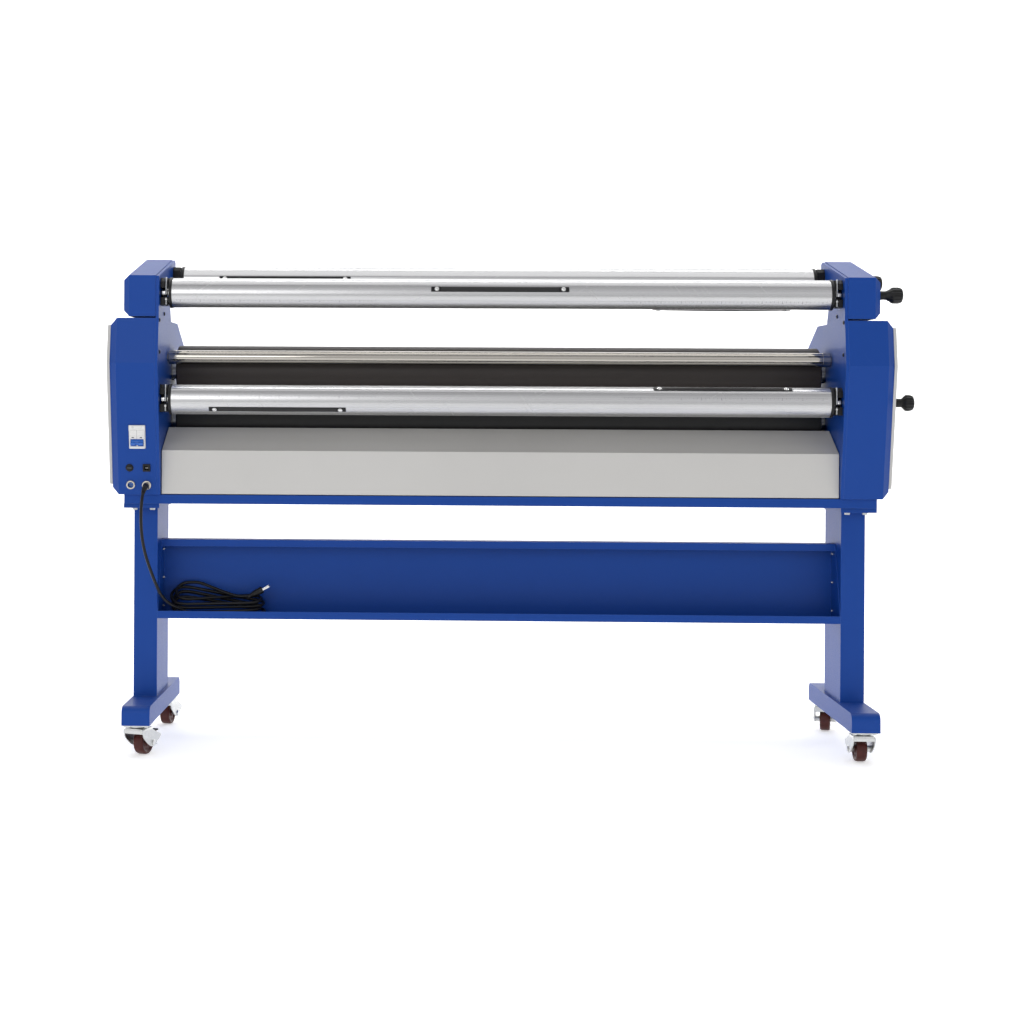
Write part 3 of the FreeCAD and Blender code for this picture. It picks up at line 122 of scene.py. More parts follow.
def slab(outline, low, high, ease=0.0008):
    """A flat outline (u, v) with thickness from low to high along X, rims eased by scaling the
    first and last ring towards the middle by the easing."""
    outline = np.asarray(outline, float)
    centre = (outline.max(0) + outline.min(0)) / 2
    half = (outline.max(0) - outline.min(0)) / 2
    inset = centre + (outline - centre) * (1 - ease / half)
    levels = ((low, inset), (low + ease, outline), (high - ease, outline), (high, inset))
    rings = np.stack([np.column_stack([np.full(len(ring), x), ring]) for x, ring in levels])
    return capped(rings)


def rounded_box(low, high, ease=0.001, steps=3):
    """A block between two corners: a rounded rectangle in Y and Z, given a thickness in X."""
    low, high = np.asarray(low, float), np.asarray(high, float)
    corners = [(low[1], low[2]), (high[1], low[2]), (high[1], high[2]), (low[1], high[2])]
    return slab(eased(corners, ease, steps, closed=True), low[0], high[0],
                min(ease, 0.3 * (high[0] - low[0])))


def carried(path, section, widths=None):
    """A section (u, v) carried along a path: at each point the section stands square to the
    path's direction, scaled by that point's width."""
    path = np.asarray(path, float)
    section = np.asarray(section, float)
    widths = np.ones(len(path)) if widths is None else np.asarray(widths, float)
    ahead = np.gradient(path, axis=0)
    ahead /= np.linalg.norm(ahead, axis=1, keepdims=True)
    side = np.cross(ahead, [0.0, 0.0, 1.0])
    flat = np.linalg.norm(side, axis=1, keepdims=True) < 1e-6
    side = np.where(flat, [1.0, 0.0, 0.0], side)
    side /= np.linalg.norm(side, axis=1, keepdims=True)
    rise = np.cross(side, ahead)
    u = section[None, :, :1] * side[:, None] * widths[:, None, None]
    v = section[None, :, 1:] * rise[:, None] * widths[:, None, None]
    return capped(path[:, None] + u + v)


def circle(radius, count=24):
    """A closed ring of points round the origin."""
    angle = np.linspace(0, 2 * np.pi, count, endpoint=False)
    return np.column_stack([radius * np.cos(angle), radius * np.sin(angle)])


def shifted(surface, x=0.0, y=0.0, z=0.0):
    """A surface moved along the axes."""
    points, faces = surface
    return points + np.array([x, y, z]), faces


def turn(axis, degrees):
    """The rotation matrix about a named axis."""
    return np.array(Matrix.Rotation(math.radians(degrees), 3, axis))


def rotated(surface, matrix):
    """A surface turned by a matrix."""
    points, faces = surface
    return points @ np.asarray(matrix).T, faces


# the X axis of a lathe shape laid along -Y, +Y or +Z
TO_FRONT = turn("Z", -90)
TO_BACK = turn("Z", 90)
TO_TOP = turn("Y", -90)


def piece(name, body, parts, replaces=(), smooth=30.0, bevel=None):
    """One object from (surface, material) pairs. Doubles are merged, normals face outwards and
    edges sharper than the smooth angle stay crisp."""
    materials = []
    shape = bmesh.new()
    for (points, faces), material in parts:
        if material not in materials:
            materials.append(material)
        index = materials.index(material)
        corners = [shape.verts.new(point) for point in np.asarray(points).tolist()]
        made = []
        for face in faces:
            made.append(shape.faces.new([corners[corner] for corner in face]))
            made[-1].material_index = index
            made[-1].smooth = True
        bmesh.ops.remove_doubles(shape, verts=corners, dist=2e-6)
    bmesh.ops.recalc_face_normals(shape, faces=shape.faces[:])
    mesh = bpy.data.meshes.new(name)
    shape.to_mesh(mesh)
    shape.free()
    for material in materials:
        mesh.materials.append(material)
    mesh.set_sharp_from_angle(angle=math.radians(smooth))
    item = bpy.data.objects.new(name, mesh)
    bpy.context.collection.objects.link(item)
    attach(item, body)
    if bevel:
        round_edges(item, bevel)
    if replaces:
        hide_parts(*replaces)
    return item


def round_edges(item, width, segments=2):
    """Bevel the edges sharper than the limit, in even steps."""
    modifier = item.modifiers.new("rounded edges", "BEVEL")
    modifier.width = width
    modifier.segments = segments
    modifier.limit_method = "ANGLE"
    modifier.angle_limit = math.radians(32)
    modifier.harden_normals = True
    modifier.miter_outer = "MITER_ARC"


def softened(node, body, material, width, name=None):
    """A node's own shape with its folds and corners rounded: doubles merged, flat faces joined,
    and each edge sharper than the limit bevelled by the width."""
    shape = bmesh.new()
    shape.from_mesh(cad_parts[node].data)
    bmesh.ops.remove_doubles(shape, verts=shape.verts[:], dist=1e-5)
    bmesh.ops.dissolve_limit(shape, angle_limit=math.radians(0.6), verts=shape.verts[:],
                             edges=shape.edges[:])
    for face in shape.faces:
        face.smooth = True
        face.material_index = 0
    mesh = bpy.data.meshes.new(name or node + "_formed")
    shape.to_mesh(mesh)
    shape.free()
    mesh.materials.append(material)
    mesh.set_sharp_from_angle(angle=math.radians(30))
    item = bpy.data.objects.new(name or node + "_formed", mesh)
    bpy.context.collection.objects.link(item)
    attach(item, body)
    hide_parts(node)
    round_edges(item, width)
    return item


# ---------------------------------------------------------------- finishes

def node_of(tree, kind, settings=None, **inputs):
    """A shader node. Inputs are named with underscores, or i0, i1 for sockets by number, and take
    a value or another node's output."""
    node = tree.nodes.new("ShaderNode" + kind)
    for key, value in (settings or {}).items():
        setattr(node, key, value)
    for key, value in inputs.items():
        socket = node.inputs[int(key[1:]) if key[0] == "i" and key[1:].isdigit() else key.replace("_", " ")]
        if isinstance(value, bpy.types.NodeSocket):
            tree.links.new(value, socket)
        else:
            socket.default_value = value
    return node


def math_of(tree, operation, first, second=0.0, third=0.0):
    """One Math node's output."""
    return node_of(tree, "Math", {"operation": operation}, i0=first, i1=second, i2=third).outputs[0]


def effect(name, inputs, outputs, build):
    """A node group: inputs and outputs are (name, kind, default) and build returns its outputs."""
    tree = bpy.data.node_groups.new(name, "ShaderNodeTree")
    for label, kind, default in inputs:
        socket = tree.interface.new_socket(label, in_out="INPUT", socket_type="NodeSocket" + kind)
        socket.default_value = default
    for label, kind in outputs:
        tree.interface.new_socket(label, in_out="OUTPUT", socket_type="NodeSocket" + kind)
    entry = tree.nodes.new("NodeGroupInput")
    leave = tree.nodes.new("NodeGroupOutput")
    for socket, value in zip(leave.inputs, build(tree, entry.outputs)):
        tree.links.new(value, socket)
    return tree


def colour_drift(tree, given):
    """The colour made a little lighter and darker in wide soft patches."""
    place = node_of(tree, "TexCoord").outputs["Object"]
    patches = node_of(tree, "TexNoise", Vector=place, Scale=given["Scale"], Detail=3.0).outputs[0]
    centred = math_of(tree, "SUBTRACT", patches, 0.5)
    value = math_of(tree, "MULTIPLY_ADD", centred, given["Amount"], 1.0)
    return [node_of(tree, "HueSaturation", Color=given["Colour"], Value=value).outputs[0]]


def orange_peel(tree, given):
    """The gentle dimples of baked powder: soft cells of one size with a finer ripple on them."""
    place = node_of(tree, "TexCoord").outputs["Object"]
    cells = node_of(tree, "TexVoronoi", {"feature": "SMOOTH_F1"}, Vector=place,
                    Scale=given["Cells per Metre"], Smoothness=1.0).outputs[0]
    finer = math_of(tree, "MULTIPLY", given["Cells per Metre"], 2.7)
    ripple = node_of(tree, "TexNoise", Vector=place, Scale=finer, Detail=2.0).outputs[0]
    return [math_of(tree, "MULTIPLY_ADD", ripple, 0.4, cells)]


def drawn_lines(tree, given):
    """Fine lines along X, as drawing and extruding leave them: noise stretched along X."""
    place = node_of(tree, "TexCoord").outputs["Object"]
    stretch = node_of(tree, "CombineXYZ", X=0.04, Y=given["Lines per Metre"], Z=given["Lines per Metre"])
    across = node_of(tree, "VectorMath", {"operation": "MULTIPLY"}, i0=place, i1=stretch.outputs[0])
    lines = node_of(tree, "TexNoise", Vector=across.outputs[0], Scale=1.0, Detail=3.0)
    return [lines.outputs[0]]


def ground_rings(tree, given):
    """Rings round X, as turning and grinding leave them: noise that changes with X alone."""
    place = node_of(tree, "TexCoord").outputs["Object"]
    stretch = node_of(tree, "CombineXYZ", X=given["Rings per Metre"], Y=2.0, Z=2.0)
    along = node_of(tree, "VectorMath", {"operation": "MULTIPLY"}, i0=place, i1=stretch.outputs[0])
    return [node_of(tree, "TexNoise", Vector=along.outputs[0], Scale=1.0, Detail=4.0).outputs[0]]


def settled_dust(tree, given):
    """Dust on faces that look up, in soft patches: the upward part of the normal times noise."""
    place = node_of(tree, "TexCoord").outputs["Object"]
    normal = node_of(tree, "NewGeometry").outputs["Normal"]
    upward = node_of(tree, "SeparateXYZ", Vector=normal).outputs["Z"]
    flat = node_of(tree, "MapRange", Value=upward, From_Min=0.5, From_Max=1.0).outputs[0]
    patches = node_of(tree, "TexNoise", Vector=place, Scale=26.0, Detail=6.0, Roughness=0.65).outputs[0]
    some = node_of(tree, "MapRange", Value=patches, From_Min=0.35, From_Max=0.8).outputs[0]
    return [math_of(tree, "MULTIPLY", math_of(tree, "MULTIPLY", flat, some), given["Amount"])]


def handling_marks(tree, given):
    """Short hairline scratches in two directions: thin peaks of noise stretched along each."""
    place = node_of(tree, "TexCoord").outputs["Object"]
    found = []
    for angle, long, wide in ((0.5, 5.0, 260.0), (-0.9, 7.0, 330.0)):
        swung = node_of(tree, "VectorRotate", {"rotation_type": "Y_AXIS"}, Vector=place, Angle=angle)
        thin = node_of(tree, "VectorMath", {"operation": "MULTIPLY"}, i0=swung.outputs[0],
                       i1=(long, long, wide))
        noise = node_of(tree, "TexNoise", Vector=thin.outputs[0], Scale=1.0, Detail=2.0).outputs[0]
        found.append(node_of(tree, "MapRange", Value=noise, From_Min=0.70, From_Max=0.78).outputs[0])
    return [math_of(tree, "MULTIPLY", math_of(tree, "MAXIMUM", *found), given["Amount"])]


def painted_edge_highlight(tree, given):
    """Painted highlight on corners and folds, found where a rounded normal leaves the true one."""
    soft = node_of(tree, "Bevel", {"samples": 4}, Radius=given["Width"]).outputs[0]
    true = node_of(tree, "NewGeometry").outputs["Normal"]
    alike = node_of(tree, "VectorMath", {"operation": "DOT_PRODUCT"}, i0=soft, i1=true).outputs["Value"]
    highlighted = node_of(tree, "MapRange", Value=alike, From_Min=0.995, From_Max=0.86).outputs[0]
    return [math_of(tree, "MULTIPLY", highlighted, given["Amount"])]


def moulded_grain(tree, given):
    """The fine spark-eroded grain of moulded plastic and rubber: dense noise."""
    place = node_of(tree, "TexCoord").outputs["Object"]
    grain = node_of(tree, "TexNoise", Vector=place, Scale=given["Grains per Metre"], Detail=4.0,
                    Roughness=0.7)
    return [grain.outputs[0]]


def rule_marks(tree, given):
    """A printed rule near each end of a tube, along X: a tick every centimetre and a longer one
    every five, where |x| is in the rule's reach and the angle about the tube's axis is in its band."""
    place = node_of(tree, "TexCoord").outputs["Object"]
    xyz = node_of(tree, "SeparateXYZ", Vector=place).outputs
    ahead = math_of(tree, "SUBTRACT", given["Axis Y"], xyz["Y"])
    above = math_of(tree, "SUBTRACT", xyz["Z"], given["Axis Z"])
    angle = math_of(tree, "ARCTAN2", above, ahead)
    drop = math_of(tree, "SUBTRACT", given["Angle"], angle)
    along = math_of(tree, "ABSOLUTE", math_of(tree, "SUBTRACT", xyz["X"], float(SHIFT[0])))
    reach = math_of(tree, "COMPARE", along, 0.56, 0.252)
    marks = []
    for pitch, wide, tall in ((0.005, 0.0005, 0.07), (0.01, 0.0009, 0.12), (0.05, 0.0012, 0.19)):
        phase = math_of(tree, "FRACT", math_of(tree, "DIVIDE", along, pitch))
        near = math_of(tree, "LESS_THAN", math_of(tree, "PINGPONG", phase, 0.5), wide / pitch / 2)
        within = math_of(tree, "COMPARE", drop, tall / 2, tall / 2)
        marks.append(math_of(tree, "MULTIPLY", near, within))
    ticks = math_of(tree, "MAXIMUM", math_of(tree, "MAXIMUM", marks[0], marks[1]), marks[2])
    return [math_of(tree, "MULTIPLY", ticks, reach)]


AMOUNT = ("Amount", "Float", 0.3)
EFFECTS = {
    "drift": effect("Colour drift", [("Colour", "Color", (0.5, 0.5, 0.5, 1)), ("Scale", "Float", 3.0),
                                     AMOUNT],
                    [("Colour", "Color")], colour_drift),
    "peel": effect("Orange peel", [("Cells per Metre", "Float", 400.0)], [("Height", "Float")],
                   orange_peel),
    "lines": effect("Drawn lines", [("Lines per Metre", "Float", 1500.0)], [("Height", "Float")],
                    drawn_lines),
    "rings": effect("Ground rings", [("Rings per Metre", "Float", 900.0)], [("Height", "Float")],
                    ground_rings),
    "dust": effect("Settled dust", [AMOUNT], [("Mask", "Float")], settled_dust),
    "marks": effect("Handling marks", [AMOUNT], [("Mask", "Float")], handling_marks),
    # the painted highlight on corners and folds
    "edges": effect("Painted edge highlight", [("Width", "Float", 0.0015), AMOUNT], [("Mask", "Float")], painted_edge_highlight),
    "grain": effect("Moulded grain", [("Grains per Metre", "Float", 1500.0)], [("Height", "Float")],
                    moulded_grain),
    "rule": effect("Rule marks", [("Axis Y", "Float", 0.0), ("Axis Z", "Float", 0.0),
                                  ("Angle", "Float", 0.0)],
                   [("Mask", "Float")], rule_marks),
}


def use(tree, name, **inputs):
    """One effect placed with its own values; gives its output."""
    node = node_of(tree, "Group", {"node_tree": EFFECTS[name]}, **inputs)
    return node.outputs[0]


def blended(tree, share, first, second):
    """Two colours mixed by a share."""
    mix = node_of(tree, "Mix", {"data_type": "RGBA"}, i0=share, i6=first, i7=second)
    return mix.outputs[2]


def finish_of(name, colour, rough, metal=0.0, coat=0.0, drift=(3.0, 0.12), texture=None, bump=0.0,
              depth=0.0005, rough_swing=0.15, dust=0.0, marks=0.0, edges=0.0, highlight_and_scratch_colour=(0.6, 0.6, 0.6),
              specular=0.5, rule=None):
    """A material: drifting colour, a named surface texture for bump and roughness, and dust,
    marks and a painted highlight on corners and folds laid over it."""
    material = bpy.data.materials.new(name)
    material.use_nodes = True
    tree = material.node_tree
    shader = tree.nodes["Principled BSDF"]
    shader.inputs["Metallic"].default_value = metal
    shader.inputs["Coat Weight"].default_value = coat
    shader.inputs["Coat Roughness"].default_value = 0.12
    shader.inputs["Specular IOR Level"].default_value = specular
    paint = use(tree, "drift", Colour=(*colour, 1.0), Scale=drift[0], Amount=drift[1])
    height = use(tree, texture[0], **texture[1]) if texture else None
    roughness = math_of(tree, "MULTIPLY_ADD", math_of(tree, "SUBTRACT", height, 0.5), rough_swing, rough)
    # painted highlight: corners and folds lightened towards the lighter colour, which the scratches share
    if edges:
        paint = blended(tree, use(tree, "edges", Amount=edges), paint, (*highlight_and_scratch_colour, 1.0))
    if marks:
        scratched = use(tree, "marks", Amount=marks)
        roughness = math_of(tree, "MULTIPLY_ADD", scratched, 0.25, roughness)
        paint = blended(tree, math_of(tree, "MULTIPLY", scratched, 0.35), paint, (*highlight_and_scratch_colour, 1.0))
    if dust:
        dusty = use(tree, "dust", Amount=dust)
        paint = blended(tree, dusty, paint, (0.42, 0.40, 0.37, 1.0))
        roughness = math_of(tree, "MULTIPLY_ADD", dusty, 0.5, roughness)
    if rule:
        printed = use(tree, "rule", Axis_Y=rule[0], Axis_Z=rule[1], Angle=rule[2])
        paint = blended(tree, math_of(tree, "MULTIPLY", printed, 0.75), paint, (0.10, 0.10, 0.11, 1.0))
    tree.links.new(paint, shader.inputs["Base Color"])
    tree.links.new(roughness, shader.inputs["Roughness"])
    if bump:
        raised = node_of(tree, "Bump", Strength=bump, Distance=depth, Height=height)
        tree.links.new(raised.outputs[0], shader.inputs["Normal"])
    return material


def peel(cells):
    """The orange peel texture at so many cells a metre."""
    return "peel", {"Cells_per_Metre": float(cells)}


def lines(count):
    """The drawn lines texture at so many lines a metre."""
    return "lines", {"Lines_per_Metre": float(count)}


def rings(count):
    """The ground rings texture at so many rings a metre."""
    return "rings", {"Rings_per_Metre": float(count)}


def grains(count):
    """The moulded grain texture at so many grains a metre."""
    return "grain", {"Grains_per_Metre": float(count)}


# edges= sets how strongly corners and folds get the painted highlight; this lighter blue also colours the
# scratches
BLUE_HIGHLIGHT_AND_SCRATCH = (0.10, 0.19, 0.56)
blue_paint = finish_of("blue_powder_coat", (0.005, 0.052, 0.285), 0.38, drift=(2.2, 0.16), specular=0.2,
                       texture=peel(420), bump=0.10, depth=0.0004, dust=0.10, marks=0.10, edges=0.35,
                       highlight_and_scratch_colour=BLUE_HIGHLIGHT_AND_SCRATCH)
grey_paint = finish_of("light_grey_powder_coat", (0.555, 0.547, 0.525), 0.46, drift=(2.0, 0.10),
                       texture=peel(650), bump=0.16, depth=0.0004, dust=0.08, marks=0.10, edges=0.3,
                       highlight_and_scratch_colour=(0.75, 0.75, 0.74))
zinc = finish_of("zinc_plated_steel", (0.62, 0.63, 0.62), 0.30, metal=1.0, drift=(60.0, 0.35),
                 texture=grains(700), bump=0.12, depth=0.0002, rough_swing=0.3, marks=0.4, edges=0.3,
                 highlight_and_scratch_colour=(0.85, 0.85, 0.84))
bright_steel = finish_of("bright_screw_steel", (0.72, 0.72, 0.71), 0.20, metal=1.0, drift=(90.0, 0.2),
                         texture=grains(1600), bump=0.08, depth=0.0001, marks=0.3)
black_steel = finish_of("satin_black_paint", (0.006, 0.006, 0.0065), 0.34, specular=0.3, drift=(20.0, 0.3),
                        texture=peel(900), bump=0.15, depth=0.0003, dust=0.10, marks=0.3, edges=0.25,
                        highlight_and_scratch_colour=(0.16, 0.16, 0.17))
cast_iron = finish_of("rough_cast_iron", (0.09, 0.09, 0.095), 0.62, metal=0.3, drift=(40.0, 0.4),
                      texture=grains(380), bump=0.6, depth=0.0006, dust=0.25, edges=0.4,
                      highlight_and_scratch_colour=(0.32, 0.32, 0.33))
motor_paint = finish_of("motor_grey_blue_paint", (0.07, 0.09, 0.11), 0.42, drift=(15.0, 0.2),
                        texture=peel(500), bump=0.2, depth=0.0004, dust=0.3, edges=0.3,
                        highlight_and_scratch_colour=(0.3, 0.32, 0.34))
white_plastic = finish_of("white_moulded_plastic", (0.74, 0.74, 0.72), 0.38, drift=(40.0, 0.06),
                          texture=grains(1800), bump=0.12, depth=0.0001, dust=0.05, edges=0.1,
                          highlight_and_scratch_colour=(0.85, 0.85, 0.84))
black_plastic = finish_of("black_moulded_plastic", (0.0045, 0.0045, 0.005), 0.36, specular=0.3,
                          drift=(40.0, 0.3),
                          texture=grains(1500), bump=0.25, depth=0.00015, dust=0.08, edges=0.2,
                          highlight_and_scratch_colour=(0.07, 0.07, 0.07))
blue_plastic = finish_of("blue_moulded_plastic", (0.015, 0.12, 0.50), 0.26, drift=(60.0, 0.1),
                         texture=grains(2000), bump=0.08, depth=0.0001, edges=0.15,
                         highlight_and_scratch_colour=(0.2, 0.35, 0.7))
red_plastic = finish_of("red_moulded_plastic", (0.55, 0.010, 0.008), 0.24, coat=0.3, drift=(60.0, 0.1),
                        texture=grains(2000), bump=0.08, depth=0.0001, edges=0.2,
                        highlight_and_scratch_colour=(0.8, 0.2, 0.18))
chrome = finish_of("polished_chrome", (0.50, 0.475, 0.43), 0.09, metal=1.0, drift=(4.0, 0.10),
                   texture=lines(420), bump=0.05, depth=0.0002, rough_swing=0.10)
rubber = finish_of("black_ground_rubber", (0.0085, 0.0085, 0.0085), 0.55, drift=(6.0, 0.3),
                   texture=rings(2600), bump=0.25, depth=0.0001, rough_swing=0.2, dust=0.12)
brown_rubber = finish_of("brown_ground_rubber", (0.030, 0.023, 0.020), 0.50, drift=(5.0, 0.25),
                         texture=rings(2600), bump=0.22, depth=0.0001, rough_swing=0.2, dust=0.10)
cord_sheath = finish_of("cord_sheath", (0.005, 0.005, 0.0055), 0.40, drift=(60.0, 0.4), specular=0.3,
                        texture=grains(1200), bump=0.2, depth=0.0001, dust=0.06)
yellow_plastic = finish_of("yellow_ring_plastic", (0.75, 0.48, 0.02), 0.38, drift=(60.0, 0.1),
                           texture=grains(1800), bump=0.1, depth=0.0001)
wheel_resin = finish_of("maroon_wheel_resin", (0.062, 0.010, 0.007), 0.38, specular=0.3, drift=(90.0, 0.7),
                        texture=grains(420), bump=0.18, depth=0.0002, dust=0.08, marks=0.25,
                        highlight_and_scratch_colour=(0.3, 0.2, 0.17))
ALUMINIUM = (0.58, 0.58, 0.585)


def anodised(word):
    """Satin anodised aluminium with drawn lines, and the rule printed below one of the slots."""
    _, y, z = middle(word + "_tube")
    return finish_of("anodised_" + word, ALUMINIUM, 0.27, metal=1.0, drift=(1.2, 0.05),
                     texture=lines(1300), bump=0.03, depth=0.0001, rough_swing=0.14, marks=0.12,
                     highlight_and_scratch_colour=(0.55, 0.55, 0.56), rule=(float(y), float(z), RULE_ANGLES[word]))


# how high above straight forward each tube's rule stands, in radians
RULE_ANGLES = {"liner": -0.50, "supply": 1.30, "take_up": 0.30}


def dress(node, material):
    """Give a node that keeps its own shape its finish."""
    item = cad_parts[node]
    if not item.material_slots:
        item.data.materials.append(material)
    for held in item.material_slots:
        held.material = material


# ---------------------------------------------------------------- camera and light

def camera():
    """Level with the top of the rear panel, a little to the left, turned slightly to the left."""
    yaw, pitch, roll = (math.radians(value) for value in (1.531, 0.116, 0.308))
    ahead = Vector((-math.sin(yaw) * math.cos(pitch), math.cos(yaw) * math.cos(pitch), -math.sin(pitch)))
    level = Vector((math.cos(yaw), math.sin(yaw), 0))
    rise = level.cross(ahead)
    right = math.cos(roll) * level + math.sin(roll) * rise
    up = -math.sin(roll) * level + math.cos(roll) * rise
    data = bpy.data.cameras.new("camera")
    data.lens = 62.39
    data.sensor_width = 36.0
    data.shift_x = 0.1169
    data.shift_y = -0.0981
    item = bpy.data.objects.new("camera", data)
    turned_by = Matrix((right, up, -ahead)).transposed().to_4x4()
    item.matrix_world = Matrix.Translation((-0.1733, -4.6551, 0.8678)) @ turned_by
    bpy.context.collection.objects.link(item)
    bpy.context.scene.camera = item


def softbox(name, place, target, size, power, colour=(1.0, 1.0, 1.0)):
    """A rectangular light that faces a target."""
    data = bpy.data.lights.new(name, "AREA")
    data.shape = "RECTANGLE"
    data.size, data.size_y = size
    data.energy = power
    data.color = colour
    item = bpy.data.objects.new(name, data)
    away = Vector(place) - Vector(target)
    item.matrix_world = Matrix.Translation(place) @ away.to_track_quat("Z", "Y").to_matrix().to_4x4()
    bpy.context.collection.objects.link(item)


def studio():
    """A white sweep behind and under the machine, a bright ceiling and a darker horizon."""
    sweep_x = np.linspace(-9, 9, 3)
    angle = np.linspace(0, np.pi / 2, 17)
    floor_y = np.concatenate([[-9.0, -3.0, 1.0], 2.6 + 2.0 * np.sin(angle), [4.6]])
    floor_z = np.concatenate([[0.0, 0.0, 0.0], 2.0 - 2.0 * np.cos(angle), [9.0]])
    points = np.stack([np.broadcast_to(sweep_x[None, :], (len(floor_y), 3)),
                       np.broadcast_to(floor_y[:, None], (len(floor_y), 3)),
                       np.broadcast_to(floor_z[:, None], (len(floor_y), 3))], 2)
    mesh = bpy.data.meshes.new("studio_sweep")
    mesh.from_pydata(points.reshape(-1, 3).tolist(), [], quads(len(floor_y), 3, wrap=False))
    mesh.shade_smooth()
    paper = bpy.data.materials.new("studio_paper")
    paper.use_nodes = True
    tree = paper.node_tree
    shader = tree.nodes["Principled BSDF"]
    shader.inputs["Roughness"].default_value = 0.9
    shader.inputs["Specular IOR Level"].default_value = 0.1
    pale = use(tree, "drift", Colour=(0.90, 0.90, 0.90, 1.0), Scale=0.8, Amount=0.02)
    tree.links.new(pale, shader.inputs["Base Color"])
    shader.inputs["Emission Color"].default_value = (1.0, 1.0, 1.0, 1.0)
    shader.inputs["Emission Strength"].default_value = 0.42
    mesh.materials.append(paper)
    item = bpy.data.objects.new("studio_sweep", mesh)
    bpy.context.collection.objects.link(item)

    world = bpy.data.worlds.new("studio")
    bpy.context.scene.world = world
    world.use_nodes = True
    tree = world.node_tree
    direction = node_of(tree, "TexCoord").outputs["Generated"]
    height = node_of(tree, "SeparateXYZ", Vector=direction).outputs["Z"]
    ramp = node_of(tree, "ValToRGB", Fac=math_of(tree, "MULTIPLY_ADD", height, 0.5, 0.5))
    band = ramp.color_ramp
    stops = ((0.0, 0.75), (0.46, 1.00), (0.51, 1.30), (0.64, 1.60), (0.78, 1.30), (0.90, 0.75), (1.0, 0.60))
    while len(band.elements) < len(stops):
        band.elements.new(0.5)
    for element, (place, level) in zip(band.elements, stops):
        element.position = place
        element.color = (level, level, level * 1.02, 1.0)
    background = tree.nodes["Background"]
    tree.links.new(ramp.outputs[0], background.inputs["Color"])
    background.inputs["Strength"].default_value = 0.52
    softbox("ceiling_light", (0.0, -0.6, 4.2), (0.0, 0.0, 0.8), (5.0, 2.4), 34)
    softbox("front_light", (-2.2, -5.2, 2.6), (0.0, 0.0, 0.8), (2.6, 1.8), 30)
    softbox("backdrop_light", (0.0, 1.4, 4.6), (0.0, 4.4, 1.6), (7.0, 1.2), 150)
    scene = bpy.context.scene
    scene.view_settings.view_transform = "Standard"
    scene.view_settings.look = "None"


# ---------------------------------------------------------------- mains lead

# The lead from the gland's mouth down over the tray's lip, in the machine's millimetres.
LEAD_ROUTE = [
    (-886, 16.2, 667), (-886, -12, 660), (-887, -33, 636), (-889, -34, 597), (-888, -26, 546),
    (-882, -9, 500), (-871, 14, 455), (-861, 42, 416), (-854, 74, 387), (-838, 102, 364),
    (-806, 123, 345), (-780, 130, 337),
]
# The last stretch, from the topmost fold across the pile and up to the plug.
LEAD_END = [
    (-776, 190.5, 411), (-760, 188, 407), (-736, 183, 398), (-706, 174, 388), (-678, 165, 380),
    (-654, 159, 377), (-632, 158, 382),
]
LEAD_RADIUS = 0.004
# Each fold of the loops, left and right by turns, in millimetres: its X, then the (Y, Z) where it
# meets the run nearer the front, and the (Y, Z) where it meets the run nearer the tray's back.
LOOP_FOLDS = [
    (-800, 131, 335, 197, 372), (-632, 131, 335, 197, 345), (-806, 140, 336, 197.5, 374),
    (-640, 135.5, 344.5, 197, 355), (-805, 144, 349, 197.5, 388), (-629, 144, 354, 197, 366),
    (-808, 141, 358.5, 197.5, 400), (-638, 136, 364, 196, 378), (-799, 191, 411, 144, 371),
]
FOLD_STEPS = [(0, 0), (29, 0), (58, 0), (82, 0.03), (88, 0.16), (90, 0.38), (90, 0.62), (92, 0.84),
              (98, 0.97),
              (122, 1), (151, 1)]


def loops():
    """Loops that fan out up the tray's back. From one fold to the next the angle a goes on by half
    a turn while the share t passes from 0 to 1, and a point lies at the mean of the two folds, by
    share, plus cos a along X and sin a from front to back, of half the fold's reach."""
    half, step = np.divmod(np.arange(-6, 7 * len(FOLD_STEPS) + 4), len(FOLD_STEPS))
    degrees, share = np.array(FOLD_STEPS, float)[step].T
    folds = np.array(LOOP_FOLDS, float)
    share = share[:, None]
    held = folds[half + 1] * (1 - share) + folds[np.minimum(half + 2, len(folds) - 1)] * share
    front, back = held[:, 1:3], held[:, 3:5]
    a = np.radians(degrees + 180.0 * half)
    reach = np.linalg.norm(back - front, axis=1) / 2
    across = (front + back) / 2 + (back - front) / 2 * np.sin(a)[:, None]
    return np.column_stack([held[:, 0] + reach * np.cos(a), across])


def lead():
    """The lead as one smooth line, its strain relief and its moulded plug."""
    points = np.vstack([LEAD_ROUTE, loops(), LEAD_END]) / 1000 + SHIFT
    curve = bpy.data.curves.new("mains_lead", "CURVE")
    curve.dimensions = "3D"
    spline = curve.splines.new("NURBS")
    spline.points.add(len(points) - 1)
    spline.points.foreach_set("co", np.column_stack([points, np.ones(len(points))]).ravel())
    spline.order_u = 3
    spline.use_endpoint_u = True
    spline.resolution_u = 8
    item = bpy.data.objects.new("mains_lead", curve)
    bpy.context.collection.objects.link(item)
    line = bpy.data.meshes.new_from_object(item)
    path = np.empty(len(line.vertices) * 3)
    line.vertices.foreach_get("co", path)
    path = path.reshape(-1, 3)
    curve.bevel_depth = LEAD_RADIUS
    curve.bevel_resolution = 4
    curve.materials.append(cord_sheath)
    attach(item, "frame")
    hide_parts("power_cord", "cord_hank")

    gone = np.concatenate([[0.0], np.cumsum(np.linalg.norm(np.diff(path, axis=0), axis=1))])
    step = np.linspace(0.0, 0.036, 61)
    spine = np.column_stack([np.interp(step, gone, path[:, k]) for k in range(3)])
    ribs = 0.00045 * np.sign(np.sin(step * 2 * np.pi / 0.005)) * (step > 0.008)
    widths = 0.0076 - (0.0076 - 0.0047) * (step / 0.036) ** 0.8 + ribs
    relief = piece("strain_relief", "frame", [(carried(spine, circle(1.0, 20), widths), black_plastic)],
                   smooth=45)
    at(*LEAD_ROUTE[0])
    plug(path[-1])


